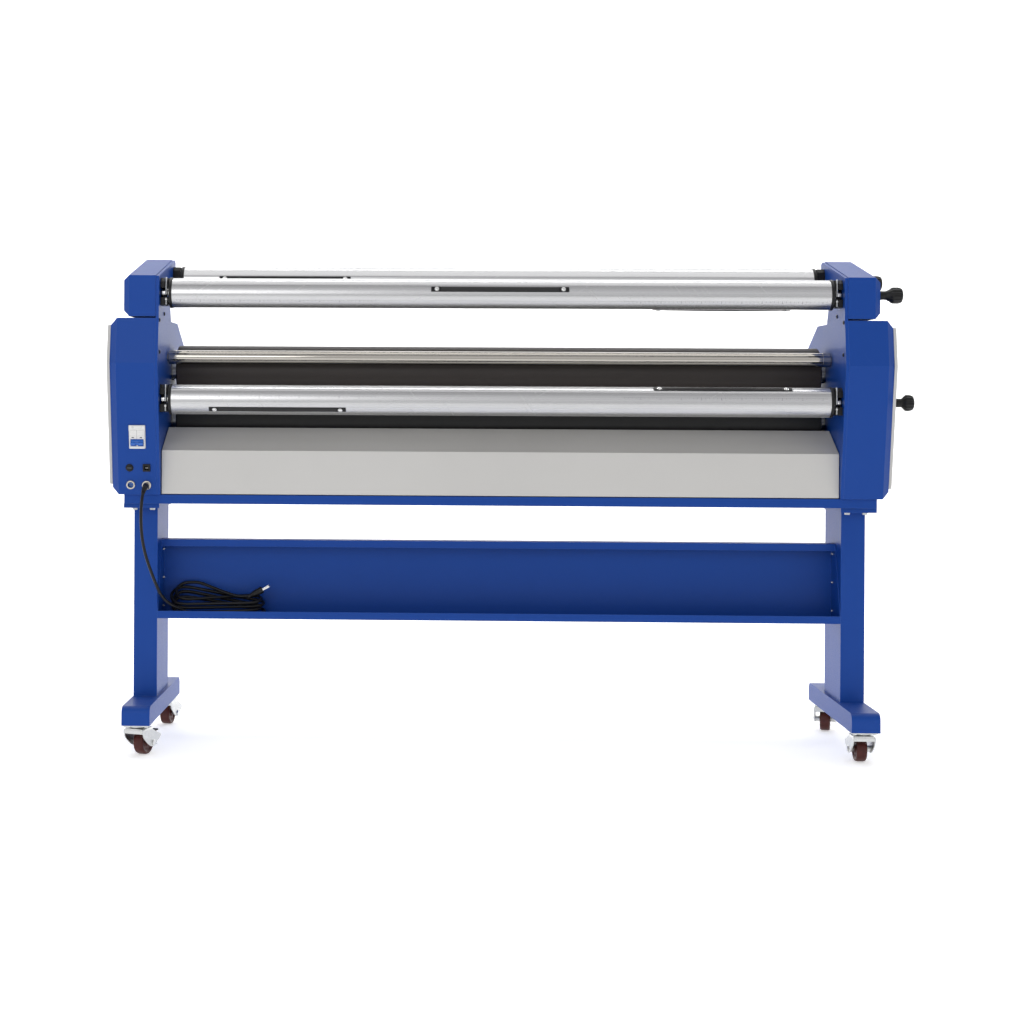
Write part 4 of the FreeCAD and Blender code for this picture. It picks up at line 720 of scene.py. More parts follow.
def plug(end):
    """A moulded two-blade plug: an oval body that swells from the lead's collar to a ribbed grip
    and a flat face, drawn along X and tilted up."""
    tilt = turn("Y", -28.0)
    stations = np.array([(-0.010, 0.0050, 0.0050), (-0.004, 0.0058, 0.0056), (0.000, 0.0072, 0.0064),
                         (0.006, 0.0096, 0.0078), (0.014, 0.0104, 0.0088), (0.024, 0.0108, 0.0090),
                         (0.0305, 0.0108, 0.0090), (0.032, 0.0100, 0.0082)])
    along = np.linspace(stations[0, 0], stations[-1, 0], 73)
    wide, tall = (np.interp(along, stations[:, 0], stations[:, k]) for k in (1, 2))
    groove = 0.0005 * ((along > 0.009) & (along < 0.023)) * (np.sin(along * 2 * np.pi / 0.0035) > 0.2)
    angle = np.linspace(0, 2 * np.pi, 40, endpoint=False)
    oval_y = np.sign(np.cos(angle)) * np.abs(np.cos(angle)) ** 0.75
    oval_z = np.sign(np.sin(angle)) * np.abs(np.sin(angle)) ** 0.75
    rings_of_points = np.stack([along[:, None] + 0 * angle, (wide - groove)[:, None] * oval_y,
                                (tall - groove)[:, None] * oval_z], 2)
    parts = [(capped(rings_of_points), black_plastic)]
    for side in SIDES.values():
        blade = rounded_box((0.0315, side * 0.006 - 0.0008, -0.003),
                            (0.051, side * 0.006 + 0.0008, 0.003), 0.0006)
        parts.append((blade, bright_steel))
    tilted = [(shifted(rotated(surface, tilt), *end), material) for surface, material in parts]
    return piece("mains_plug", "frame", tilted, replaces=["plug"])


# ---------------------------------------------------------------- folded sheet and cast parts

def sheet_work():
    """The folded, cast and machined pieces that keep their solids' shapes, with eased edges."""
    for word in SIDES:
        softened(word + "_side_plate", "frame", blue_paint, 0.0012)
        softened(word + "_cabinet", "frame", blue_paint, 0.0016)
        softened(word + "_top_cover", "frame", blue_paint, 0.0016)
        softened(word + "_leg", "frame", blue_paint, 0.0022)
    softened("base_pan", "frame", blue_paint, 0.0009)
    softened("tray", "frame", blue_paint, 0.0007)
    softened("rear_panel", "frame", grey_paint, 0.0005)
    softened("feed_table", "frame", grey_paint, 0.0007)
    softened("outer_panels", "frame", grey_paint, 0.0025)
    softened("shaft_seats", "frame", black_steel, 0.0008)
    softened("roller_brackets", "frame", cast_iron, 0.0015)
    softened("drive_motor", "frame", motor_paint, 0.0025)
    softened("lift_blocks", "lift", cast_iron, 0.0010)
    softened("lift_cam_shaft", "lift_shaft", zinc, 0.0006)
    softened("motor_sprocket", "motor_shaft", zinc, 0.0004)



# ---------------------------------------------------------------- core shafts

TUBE_RADIUS = 0.038
STRIP_HALF_LONG = 0.1715
STRIP_HALF_WIDE = 0.006
STRIP_PITCH = 0.555
# for each shaft: steps along it, and degrees above straight forward
STRIPS = {
    "liner": ((-1, 135), (0, 15), (1, -105)),
    "supply": ((-1, 8), (0, -112), (1, 128)),
    "take_up": ((-1, -41), (0, 175), (1, 57)),
}
# where each extrusion's flats lie, as degrees above straight forward, and its slot lines
FLATS = {"liner": (-44, 16, 76, 136, 196, 256), "supply": (-14, 46, 106, 166, 226, 286),
         "take_up": (12, 72, 132, 192, 252, 312)}


def ringed(start, stop, cuts, count):
    """Even steps from start to stop with a close pair of extra ones at each cut."""
    pairs = [cut + side * 0.0001 for cut in cuts for side in (-1, 1)]
    return np.unique(np.concatenate([np.linspace(start, stop, count), pairs]))


def tube(word):
    """The extrusion: r = 38 mm, eased by up to 1.3 mm over six flats, cut 0.4 mm deep along each
    flat's edge, and let in 4 mm where a gripping strip sits."""
    half = 0.822
    cuts_x = [step * STRIP_PITCH + side * (STRIP_HALF_LONG + 0.001)
              for step, _ in STRIPS[word] for side in (-1, 1)]
    strip_turn = np.radians([degrees for _, degrees in STRIPS[word]])
    reach = (STRIP_HALF_WIDE + 0.001) / TUBE_RADIUS
    flat_turn = np.radians(FLATS[word])
    seam_turn = flat_turn + np.radians(30.0)
    notch = 0.0004 / TUBE_RADIUS
    edges = np.concatenate([strip_turn - reach, strip_turn + reach, seam_turn - notch,
                            seam_turn + notch]) % (2 * np.pi)
    angle = np.unique(np.concatenate([np.linspace(0, 2 * np.pi, 144, endpoint=False), edges - 0.0015,
                                      edges + 0.0015]))
    along = ringed(-half, half, cuts_x, 9)

    def away(turns):
        """How far each angle is from each of the given ones, the short way round."""
        return np.abs((angle[:, None] - turns[None, :] + np.pi) % (2 * np.pi) - np.pi)

    flat = np.clip(1 - away(flat_turn).min(1) / np.radians(29.0), 0, 1)
    radius = TUBE_RADIUS - 0.0013 * np.sin(flat * np.pi / 2) - 0.0004 * (away(seam_turn).min(1) < notch)
    let_in = np.zeros((len(along), len(angle)), bool)
    for (step, _), near in zip(STRIPS[word], away(strip_turn).T):
        inside = np.abs(along - step * STRIP_PITCH) < STRIP_HALF_LONG + 0.001
        let_in |= inside[:, None] & (near < reach)[None, :]
    radius = np.where(let_in, 0.0345, radius[None, :])
    rim = np.array([[0.0008], [0.0]])
    along = np.concatenate([[-half], along, [half]])
    radius = np.vstack([radius[:1] - rim[0], radius, radius[-1:] - rim[0]])
    along[1] += 0.0008
    along[-2] -= 0.0008
    rings_of_points = np.stack([along[:, None] + 0 * radius, -radius * np.cos(angle),
                                radius * np.sin(angle)], 2)
    return capped(rings_of_points)


def hub(side):
    """The black end disc with its shallow dished face, and the steel journal."""
    disc = [(0.0, 0.001), (0.0, 0.0385), (0.0062, 0.0385), (0.007, 0.0377), (0.007, 0.031), (0.0058, 0.029),
            (0.0058, 0.016), (0.007, 0.0145), (0.007, 0.001)]
    journal = [(0.006, 0.001), (0.006, 0.012), (0.0272, 0.012), (0.028, 0.0112), (0.028, 0.001)]
    facing = np.diag([side, 1.0, 1.0])
    for outline in (disc, journal):
        yield shifted(rotated(turned(outline, 64), facing), side * 0.822)


def strip(step, degrees):
    """One gripping strip: a black channel, a rubber band on it whose middle is bowed outwards by
    1.2 mm with three ridges along it, and a bright screw and washer at each end."""
    long = STRIP_HALF_LONG
    channel = rounded_box((-long, -STRIP_HALF_WIDE, 0.0345), (long, STRIP_HALF_WIDE, 0.0388), 0.0006)
    x = np.linspace(-0.146, 0.146, 61)
    u = np.linspace(-1, 1, 19)
    bow = 0.0012 * (1 - (x / 0.146) ** 2)[:, None]
    ridges = 0.0009 * (1 - u ** 2) + 0.0003 * np.cos(3 * np.pi * u)
    crown = 0.0386 + bow + ridges
    over = np.stack([np.broadcast_to(x[:, None], crown.shape), np.broadcast_to(u * 0.0054, crown.shape),
                     crown], 2)
    under = over[:, ::-1].copy()
    under[:, :, 2] = 0.0375
    band = capped(np.concatenate([over, under], 1))
    parts = [(channel, black_steel), (band, rubber)]
    for end in (-1, 1):
        head = [(0.0, 0.0005), (0.0, 0.0056), (0.0009, 0.0056), (0.0010, 0.0042), (0.0026, 0.0040),
                (0.0034, 0.0026),
                (0.0034, 0.0014), (0.0020, 0.0012), (0.0020, 0.0005)]
        screw = rotated(turned(head, 24), TO_TOP)
        parts.append((shifted(screw, end * (long - 0.014), 0, 0.0389), bright_steel))
    swing = turn("X", 90.0 - degrees)
    return [(shifted(rotated(surface, swing), step * STRIP_PITCH), material) for surface, material in parts]


def core_shafts():
    """The three core tubes with their hubs and journals, and their gripping strips."""
    for word in STRIPS:
        x, y, z = middle(word + "_tube")
        metal = anodised(word)
        body = word + "_shaft"
        parts = [(tube(word), metal)]
        for side in SIDES.values():
            disc, journal = hub(side)
            parts += [(disc, black_steel), (journal, bright_steel)]
        moved = [(shifted(surface, x, y, z), material) for surface, material in parts]
        piece(word + "_core_tube", body, moved, replaces=[word + "_tube"], smooth=18)
        grips = [(shifted(surface, x, y, z), material)
                 for place in STRIPS[word] for surface, material in strip(*place)]
        piece(word + "_gripping_strips", body, grips, replaces=[word + "_grips"],
              smooth=40)


def latches():
    """A bright rod across each seat's mouth, with a dark collar nut on its lower third, a waist
    below it and a pin through its foot."""
    for word in ("liner", "take_up"):
        for name in SIDES:
            node = f"{word}_latch_{name}"
            low, high = box_of(node)
            x, y = (low[0] + high[0]) / 2, low[1] + 0.003
            foot, top = low[2], high[2]
            collar = foot + 0.021
            rod_outline = [(foot, 0.0004), (foot, 0.0022), (foot + 0.0008, 0.0029),
                           (collar - 0.004, 0.0029),
                           (collar - 0.003, 0.0022), (collar + 0.003, 0.0022), (collar + 0.004, 0.0027),
                           (top - 0.0016, 0.0027), (top - 0.0003, 0.0016), (top, 0.0004)]
            nut_outline = [(collar - 0.0045, 0.0020), (collar - 0.0045, 0.0029), (collar - 0.0035, 0.00297),
                           (collar + 0.0035, 0.00297), (collar + 0.0045, 0.0029), (collar + 0.0045, 0.0020)]
            upright = turn("Y", -90)
            parts = [(shifted(rotated(turned(rod_outline, 24), upright), x, y), zinc),
                     (shifted(rotated(turned(nut_outline, 6), upright), x, y), black_steel)]
            pin = [(-0.0028, 0.0004), (-0.0028, 0.0024), (-0.0024, 0.0029), (0.0024, 0.0029),
                   (0.0028, 0.0024), (0.0028, 0.0004)]
            parts.append((shifted(turned(pin, 20), x, y, foot + 0.013), bright_steel))
            piece(node + "_rod", node, parts, replaces=[node])


def tension_knobs():
    """Fluted knobs: the turned outline's radius is let in by up to 1.1 mm, 14 times round, where
    the grip is widest; a steel spindle runs in from behind and a bright nut closes the end."""
    for word in STRIPS:
        low, high = box_of(word + "_knob")
        y, z = (low[1] + high[1]) / 2, (low[2] + high[2]) / 2
        end = high[0]
        start = end - (0.061 if word != "take_up" else 0.0484)
        long = end - start
        outline = eased([(start, 0.001), (start, 0.0102), (start + 0.0025, 0.0112), (start + 0.018, 0.0108),
                         (start + 0.45 * long, 0.0150), (start + 0.56 * long, 0.0203),
                         (end - 0.012, 0.0205),
                         (end - 0.0035, 0.0182), (end - 0.0006, 0.0120), (end - 0.0014, 0.0100),
                         (end - 0.0014, 0.001)],
                        0.003, 4)
        angle = np.linspace(0, 2 * np.pi, 168, endpoint=False)
        share = np.clip((outline[:, 1] - 0.0125) / 0.007, 0, 1)[:, None]
        flute = 0.0011 * share * np.clip(np.cos(14 * angle) + 0.25, 0, 1)[None, :]
        radius = outline[:, 1:] - flute
        knob = capped(np.stack([outline[:, :1] + 0 * radius, radius * np.cos(angle),
                                radius * np.sin(angle)], 2))
        spindle = turned([(low[0], 0.001), (low[0], 0.0054), (low[0] + 0.0006, 0.006),
                          (start + 0.002, 0.006), (start + 0.002, 0.001)], 32)
        nut = turned([(end - 0.0030, 0.001), (end - 0.0030, 0.0062), (end - 0.0008, 0.0062),
                      (end - 0.0002, 0.0050), (end - 0.0002, 0.001)], 6)
        collar = turned([(start - 0.0004, 0.0058), (start - 0.0004, 0.0100), (start + 0.0030, 0.0100),
                         (start + 0.0030, 0.0058)], 32)
        parts = [(knob, black_plastic), (spindle, zinc), (nut, bright_steel), (collar, zinc)]
        piece(word + "_tension_knob", word + "_knob",
              [(shifted(surface, 0, y, z), m) for surface, m in parts],
              replaces=[word + "_knob"], smooth=35)


# ---------------------------------------------------------------- rollers, bar and handwheel

def rollers():
    """Rubber sleeves with eased, slightly waisted ends on the two dressed cores."""
    for word, sleeve in (("lower", rubber), ("upper", brown_rubber)):
        dress(f"{word}_roller_core", zinc)
        x, y, z = middle(f"{word}_roller_cover")
        half = 0.836
        outline = eased([(-half, 0.0572), (-half, 0.0618), (-half + 0.003, 0.065), (half - 0.003, 0.065),
                         (half, 0.0618), (half, 0.0572)], 0.0016, 3)
        skin = turned(np.vstack([outline, [[half, 0.0571], [-half, 0.0571]]])[:-1], 128)
        piece(f"{word}_roller_sleeve", f"{word}_roller", [(shifted(skin, x, y, z), sleeve)],
              replaces=[f"{word}_roller_cover"])


def guide_bar():
    """The polished bar: rounded shoulders, a fine relief groove near each end and turned stubs."""
    x, y, z = middle("guide_bar")
    half, end = 0.849, 0.859
    right = [(0.0, 0.018), (half - 0.0225, 0.018), (half - 0.022, 0.0176), (half - 0.0205, 0.0176),
             (half - 0.020, 0.018),
             (half - 0.0012, 0.018), (half, 0.0168), (half, 0.0100), (end - 0.0006, 0.0100),
             (end, 0.0094), (end, 0.0005)]
    left = [(-u, v) for u, v in right[:0:-1]]
    bar = turned(left + right[1:], 96)
    piece("polished_guide_bar", "guide_bar", [(shifted(bar, x, y, z), chrome)], replaces=["guide_bar"])


def handwheel():
    """Hub, three tapered spokes, a rim scalloped for the fingers and a turned crank grip."""
    hub_x, y, z = at(987, 350, 870)
    hub_outline = [(0, 0.0101), (0, 0.0150), (0.0012, 0.016), (0.0165, 0.0152), (0.020, 0.0135),
                   (0.020, 0.0101)]
    parts = [(shifted(turned(hub_outline, 48), hub_x), black_steel)]
    angle = np.linspace(0, 2 * np.pi, 145)[:-1]
    tube_angle = np.linspace(0, 2 * np.pi, 20, endpoint=False)
    thick = 0.0066 + 0.0004 * np.cos(18 * angle)
    radial = 0.075 + thick[:, None] * np.cos(tube_angle)
    rim = np.stack([0.010 + thick[:, None] * np.sin(tube_angle), radial * np.cos(angle)[:, None],
                    radial * np.sin(angle)[:, None]], 2)
    around = quads(len(angle) + 1, 20)
    count = len(angle) * 20
    wrapped = [[corner % count for corner in face] for face in around]
    parts.append(((shifted((rim.reshape(-1, 3), wrapped), hub_x)), black_plastic))
    for index in range(3):
        up = turn("X", 120 * index)
        length = np.linspace(0.012, 0.073, 9)
        spoke = carried(np.column_stack([0 * length + 0.010, 0 * length, length]), circle(1.0, 16),
                        0.0049 - 0.0012 * (length - 0.012) / 0.061)
        parts.append((shifted(rotated(spoke, up), hub_x), black_steel))
    grip_outline = eased([(0.0, 0.001), (0.0, 0.0062), (0.006, 0.0066), (0.018, 0.0090), (0.029, 0.0084),
                          (0.033, 0.0058), (0.033, 0.001)], 0.004, 4)
    parts.append((shifted(turned(grip_outline, 32), hub_x + 0.010, 0, 0.075), black_plastic))
    piece("lift_handwheel", "lift_shaft", [(shifted(surface, 0, y, z), m) for surface, m in parts],
          replaces=["handwheel"], smooth=40)


# ---------------------------------------------------------------- electrical fittings

# the rear face of the left cabinet leans: it starts at FACE_Y, FACE_Z and goes back 56 in 331
FACE_Y = 38
FACE_Z = 646
SLOPE = 56 / 331
LEAN = math.degrees(math.atan(SLOPE))
# X and Z of the fittings on it, in the machine's millimetres
BREAKER = (-907, 792)
FUSE = (-928, 714)
SOCKET = (-885, 714)
CONNECTOR = (-926, 671)
GLAND = (-886, 670)
# the operator's controls, on the front of the same cabinet
CONTROLS_X = -917
CONTROLS_Y = 490
STOP_Z = 940
DIAL_Z = 860


def on_face(x, z, parts):
    """Parts drawn with -Y outwards, set square on the leaning face at one X and Z."""
    place = at(x, FACE_Y - (z - FACE_Z) * SLOPE, z)
    lean = turn("X", LEAN)
    return [(shifted(rotated(surface, lean), *place), material) for surface, material in parts]


def breaker():
    """A two-pole breaker: a broad head above a narrower waist with a printed strip and two status
    windows, the toggle's bay, and a foot; a dark line down the waist between the poles is painted shade
    standing in for the groove there; the toggle rides alone."""
    body = [
        (rounded_box((-0.0206, -0.0018, -0.0296), (0.0206, 0.040, 0.0296), 0.0010), white_plastic),
        (rounded_box((-0.0206, -0.0044, 0.0150), (0.0206, -0.001, 0.0296), 0.0010), white_plastic),
        (rounded_box((-0.0188, -0.0058, -0.0050), (0.0188, -0.001, 0.0176), 0.0010), white_plastic),
        (rounded_box((-0.0196, -0.0050, -0.0296), (0.0196, -0.001, -0.0232), 0.0010), white_plastic),
        (rounded_box((-0.0196, -0.0044, -0.0240), (-0.0164, -0.001, -0.0040), 0.0008), white_plastic),
        (rounded_box((0.0164, -0.0044, -0.0240), (0.0196, -0.001, -0.0040), 0.0008), white_plastic),
        (rounded_box((-0.0016, -0.0044, -0.0240), (0.0016, -0.001, -0.0196), 0.0005), white_plastic),
        # painted shade: a dark line stands in for the groove between the poles
        (rounded_box((-0.0003, -0.00592, -0.0048), (0.0003, -0.0050, 0.0174), 0.0001), motor_paint),
        (rounded_box((-0.0162, -0.0023, -0.0236), (0.0162, -0.0015, -0.0044), 0.0003), blue_plastic),
    ]
    for x in (-0.0103, 0.0103):
        clamp = rotated(turned([(0.0, 0.0005), (0.0, 0.0030), (0.0010, 0.0032), (0.0012, 0.0005)], 24),
                        TO_FRONT)
        body.append((shifted(clamp, x, -0.0038, 0.0248), zinc))
        body.append((rounded_box((x - 0.0030, -0.00594, -0.0022), (x + 0.0030, -0.0050, 0.0006), 0.0004),
                     motor_paint))
        body.append((rounded_box((x - 0.0070, -0.00590, 0.0036), (x + 0.0070, -0.0050, 0.0046), 0.0002),
                     zinc))
        body.append((rounded_box((x - 0.0070, -0.00590, 0.0126), (x + 0.0030, -0.0050, 0.0134), 0.0002),
                     zinc))
    piece("mains_breaker", "frame", on_face(*BREAKER, body), replaces=["circuit_breaker"],
          smooth=40)

    lever_outline = eased([(-0.0158, -0.0185), (-0.0158, -0.0128), (-0.0075, -0.0118), (0.001, -0.0118),
                           (0.001, -0.0200), (-0.0075, -0.0192)],
                          0.0022, 4, closed=True)
    drum = turned([(-0.0156, 0.001), (-0.0156, 0.0074), (-0.0150, 0.0079), (0.0150, 0.0079),
                   (0.0156, 0.0074), (0.0156, 0.001)], 48)
    lever = [(shifted(drum, 0, 0, -0.014), blue_plastic)]
    for low, high in ((-0.0155, -0.0030), (0.0030, 0.0155)):
        lever.append((slab(lever_outline, low, high, 0.0008), blue_plastic))
    lever.append((rounded_box((-0.0034, -0.0128, -0.0162), (0.0034, 0.0, -0.0126), 0.0004), blue_plastic))
    piece("breaker_lever", "breaker_toggle", on_face(*BREAKER, lever), replaces=["breaker_toggle"],
          smooth=40)


def fittings():
    """Fuse holder, pedal socket, round connector, and the operator's plate with its scale."""
    cap = rotated(turned(eased([(-0.020, 0.001), (-0.020, 0.0077), (0.0, 0.0077), (0.0, 0.0098),
                                (0.0016, 0.0099), (0.0024, 0.0078),
                                (0.0040, 0.0072), (0.0040, 0.001)], 0.0005), 40), TO_FRONT)
    # painted shade: a dark bar on the cap's face stands in for its screwdriver slot
    slot_shade_bar = rounded_box((-0.0058, -0.0044, -0.0007), (0.0058, -0.0034, 0.0007), 0.0002)
    parts = on_face(*FUSE, [(cap, black_plastic), (slot_shade_bar, motor_paint)])
    outer = 0.0093
    frame_parts = [rounded_box((-outer, -0.004, 0.0052), (outer, 0.020, outer), 0.0009),
                   rounded_box((-outer, -0.004, -outer), (outer, 0.020, -0.0052), 0.0009),
                   rounded_box((-outer, -0.004, -0.0056), (-0.0052, 0.020, 0.0056), 0.0006),
                   rounded_box((0.0052, -0.004, -0.0056), (outer, 0.020, 0.0056), 0.0006),
                   rounded_box((-0.0056, 0.0081, -0.0056), (0.0056, 0.020, 0.0056), 0.0004)]
    socket = [(part, black_plastic) for part in frame_parts]
    for x in (-0.0025, 0.0, 0.0025):
        socket.append((rounded_box((x - 0.0004, 0.003, -0.0030), (x + 0.0004, 0.0085, 0.0002), 0.0001),
                       bright_steel))
    parts += on_face(*SOCKET, socket)
    ring = rotated(turned(eased([(-0.020, 0.0072), (-0.020, 0.0097), (0.0, 0.0097), (0.0, 0.0113),
                                 (0.0030, 0.0114), (0.0040, 0.0100),
                                 (0.0040, 0.0076), (0.0034, 0.0072), (-0.0070, 0.0072)], 0.0005), 48),
                   TO_FRONT)
    insert = rotated(turned([(-0.019, 0.0004), (-0.019, 0.0073), (-0.0048, 0.0073), (-0.0044, 0.0060),
                             (-0.0044, 0.0004)], 40), TO_FRONT)
    connector = [(ring, chrome), (insert, blue_plastic)]
    for index in range(4):
        spot = 0.0034 * np.array([math.cos(index * math.pi / 2 + 0.785),
                                  math.sin(index * math.pi / 2 + 0.785)])
        pin = rotated(turned([(0.0, 0.0002), (0.0, 0.0007), (0.0035, 0.0007), (0.0040, 0.0003)], 12),
                      TO_FRONT)
        connector.append((shifted(pin, spot[0], 0.0048, spot[1]), bright_steel))
    parts += on_face(*CONNECTOR, connector)

    x, y, z = at(CONTROLS_X, CONTROLS_Y, (STOP_Z + DIAL_Z) / 2)
    plate = rounded_box((-0.037, 0.0, -0.085), (0.037, 0.002, 0.085), 0.0007)
    parts.append((shifted(plate, x, y, z), black_steel))
    collar = rotated(turned([(0.0, 0.0084), (0.0, 0.0158), (0.0068, 0.0150), (0.008, 0.0140),
                             (0.008, 0.0084)], 48), TO_BACK)
    parts.append((shifted(collar, x, y + 0.002, z + 0.040), black_plastic))
    ring = rotated(turned([(0.0, 0.0190), (0.0, 0.0255), (0.0004, 0.0258), (0.0008, 0.0250),
                           (0.0008, 0.0192)], 64), TO_BACK)
    parts.append((shifted(ring, x, y + 0.002, z + 0.040), yellow_plastic))
    for step in range(10):
        degrees = 225 - step * 30
        tick = rounded_box((0.0175, 0.0, -0.0005), (0.0215 if step % 3 == 0 else 0.0200, 0.0003, 0.0005),
                           0.0001)
        parts.append((shifted(rotated(tick, turn("Y", -degrees)), x, y + 0.002, z - 0.040), white_plastic))
    for corner_x in (-0.032, 0.032):
        for corner_z in (-0.080, 0.080):
            parts.append((shifted(rotated(screw_head(0.0026), TO_BACK), x + corner_x, y + 0.002,
                                  z + corner_z), bright_steel))
    piece("panel_sockets_and_plate", "frame", parts, replaces=["panel_fittings"],
          smooth=40)


def gland():
    """The chrome gland: a dished washer, an eight-sided nut and a domed cap round the lead."""
    washer = turned(eased([(-0.020, 0.0050), (-0.020, 0.0087), (0.0, 0.0087), (0.0, 0.0121),
                           (0.0022, 0.0124), (0.0040, 0.0110), (0.0040, 0.0050)], 0.0006), 56)
    nut = turned([(0.0038, 0.0050), (0.0038, 0.0082), (0.0046, 0.0087), (0.0110, 0.0087),
                  (0.0118, 0.0082), (0.0118, 0.0050)], 8)
    cap = turned(eased([(0.0116, 0.0046), (0.0116, 0.0080), (0.0150, 0.0078), (0.0178, 0.0062),
                        (0.0180, 0.0046)], 0.0012, 4), 48)
    parts = [(rotated(washer, TO_FRONT), chrome), (rotated(nut, TO_FRONT), chrome),
             (rotated(cap, TO_FRONT), black_plastic)]
    piece("lead_gland", "frame", on_face(*GLAND, parts), replaces=["cord_gland"])


def operator_controls():
    """A mushroom stop button on its stem, and a ribbed dial with a white pointer."""
    x, _, stop_z = at(CONTROLS_X, 0, STOP_Z)
    dial_z = at(0, 0, DIAL_Z)[2]
    front = box_of("emergency_stop")[1][1]
    stop_outline = [(-0.0295, 0.001), (-0.0295, 0.0078), (-0.012, 0.0078), (-0.012, 0.0185),
                    (-0.0105, 0.0200),
                    (-0.0055, 0.0200), (-0.0020, 0.0180), (-0.0004, 0.0120), (0.0, 0.0005)]
    head = rotated(turned(eased(stop_outline, 0.0012, 4), 64), TO_BACK)
    arrow_ring = rotated(turned([(-0.0016, 0.0110), (-0.0016, 0.0128), (0.0, 0.0126), (0.0, 0.0112)], 48),
                         TO_BACK)
    parts = [(shifted(head, x, front, stop_z), red_plastic),
             (shifted(arrow_ring, x, front - 0.0004, stop_z), white_plastic)]
    piece("stop_button", "emergency_stop", parts,
          replaces=["emergency_stop"])
    back = box_of("speed_knob")[1][1] - 0.016
    profile = eased([(0.0, 0.001), (0.0, 0.0150), (0.0030, 0.0150), (0.0050, 0.0126), (0.0150, 0.0112),
                     (0.0160, 0.0100), (0.0160, 0.0005)], 0.0010, 3)
    angle = np.linspace(0, 2 * np.pi, 120, endpoint=False)
    ribbed = np.clip((profile[:, :1] - 0.0050) / 0.001, 0, 1)
    ribbed = ribbed * np.clip((0.0158 - profile[:, :1]) / 0.001, 0, 1)
    radius = profile[:, 1:] - 0.0006 * ribbed * np.clip(np.cos(20 * angle) + 0.3, 0, 1)
    dial = capped(np.stack([profile[:, :1] + 0 * radius, radius * np.cos(angle), radius * np.sin(angle)],
                           2))
    spindle = turned([(-0.0138, 0.001), (-0.0138, 0.0039), (0.001, 0.0039), (0.001, 0.001)], 24)
    pointer = rounded_box((-0.0007, 0.0156, 0.003), (0.0007, 0.01605, 0.0098), 0.0001)
    parts = [(rotated(dial, TO_BACK), black_plastic), (rotated(spindle, TO_BACK), zinc),
             (pointer, white_plastic)]
    piece("speed_dial", "speed_knob", [(shifted(surface, x, back, dial_z), m) for surface, m in parts],
          replaces=["speed_knob"], smooth=35)


# ---------------------------------------------------------------- screws and bolts

def screw_head(radius):
    """A pan head with a round recess, drawn out along X from its seat."""
    outline = [(0.0, 0.0003), (0.0, radius), (0.25 * radius, radius), (0.5 * radius, 0.8 * radius),
               (0.58 * radius, 0.45 * radius), (0.2 * radius, 0.40 * radius), (0.2 * radius, 0.0003)]
    return turned(outline, 24)


def bolts():
    """Tray and plate screws, and the white hexagon bolts with washers under the pan."""
    parts = []
    for side in SIDES.values():
        inward = np.diag([-side, 1.0, 1.0]) if side > 0 else np.eye(3)
        for z in (350, 424, 498):
            place = at(side * 866, 188, z)
            parts.append((shifted(rotated(screw_head(0.0049), inward), *place), bright_steel))
        for y, z in ((10, 1085), (12, 1005), (85, 1104)):
            place = at(side * 852, y, z)
            parts.append((shifted(rotated(screw_head(0.0049), inward), *place), black_steel))
        for x in (878, 922):
            for y in (78, 308):
                place = at(side * x, y, 611)
                down = turn("Y", 90)
                washer = turned([(0.0, 0.0005), (0.0, 0.0078), (0.0012, 0.0079), (0.0016, 0.0072),
                                 (0.0016, 0.0005)], 32)
                head = turned([(0.0014, 0.0005), (0.0014, 0.0070), (0.0050, 0.0070), (0.0059, 0.0060),
                               (0.0059, 0.0005)], 6)
                for shape in (washer, head):
                    parts.append((shifted(rotated(shape, down), *place), zinc))
    piece("screws_and_bolts", "frame", parts, replaces=["frame_bolts"])


# ---------------------------------------------------------------- casters

# each caster's swing from straight back towards +X, in degrees, and in its own frame the trail,
# the axle's height and the brake lever's pivot
CASTER_SWINGS = {"left_rear": 20, "left_front": 10, "right_rear": 0, "right_front": 15}
BRAKED = ("left_rear", "right_front")
CASTER_X = 894
CASTER_Y = {"rear": -27, "front": 399}
AXLE = (0.0, 0.028, 0.031)
LEVER_PIVOT = (0.0, 0.062, 0.044)


def caster_place(name):
    """The point on the floor under a caster's swivel."""
    side, end = name.split("_")
    return at(SIDES[side] * CASTER_X, CASTER_Y[end], 0)


def caster_plates():
    """Top plates with rounded corners and four bolt heads, each over a pressed double raceway."""
    parts = []
    for name in CASTER_SWINGS:
        place = caster_place(name)
        corners = [(-0.033, -0.033), (0.033, -0.033), (0.033, 0.033), (-0.033, 0.033)]
        plate = slab(eased(corners, 0.007, 5, closed=True), 0.077, 0.081, 0.0007)
        made = [(rotated(plate, turn("Y", -90) @ np.diag([1.0, 1.0, -1.0])), zinc)]
        race = turned(eased([(0.0720, 0.004), (0.0720, 0.0200), (0.0732, 0.0232), (0.0752, 0.0238),
                             (0.0771, 0.0200), (0.0771, 0.004)], 0.0010, 3), 56)
        made.append((rotated(race, TO_TOP), zinc))
        for x in (-0.024, 0.024):
            for y in (-0.024, 0.024):
                head = turned([(0.0, 0.0003), (0.0, 0.0048), (0.0024, 0.0048), (0.0030, 0.0042),
                               (0.0030, 0.0003)], 6)
                made.append((shifted(rotated(head, turn("Y", 90)), x, y, 0.0771), zinc))
        parts += [(shifted(surface, *place), material) for surface, material in made]
    piece("caster_top_plates", "frame", parts, replaces=["caster_plates"])


def fork_cheek():
    """Outline of a cheek (y, z): broad under the crown, curving back and down to the axle, with an
    ear behind it for the brake lever."""
    return eased([(-0.0222, 0.0650), (-0.0222, 0.0560), (-0.0190, 0.0480), (-0.0080, 0.0380),
                  (0.0080, 0.0270),
                  (0.0180, 0.0222), (0.0280, 0.0205), (0.0375, 0.0222), (0.0500, 0.0320), (0.0640, 0.0385),
                  (0.0675, 0.0440), (0.0650, 0.0480), (0.0480, 0.0540), (0.0300, 0.0620), (0.0240, 0.0650)],
                 0.006, 3, closed=True)


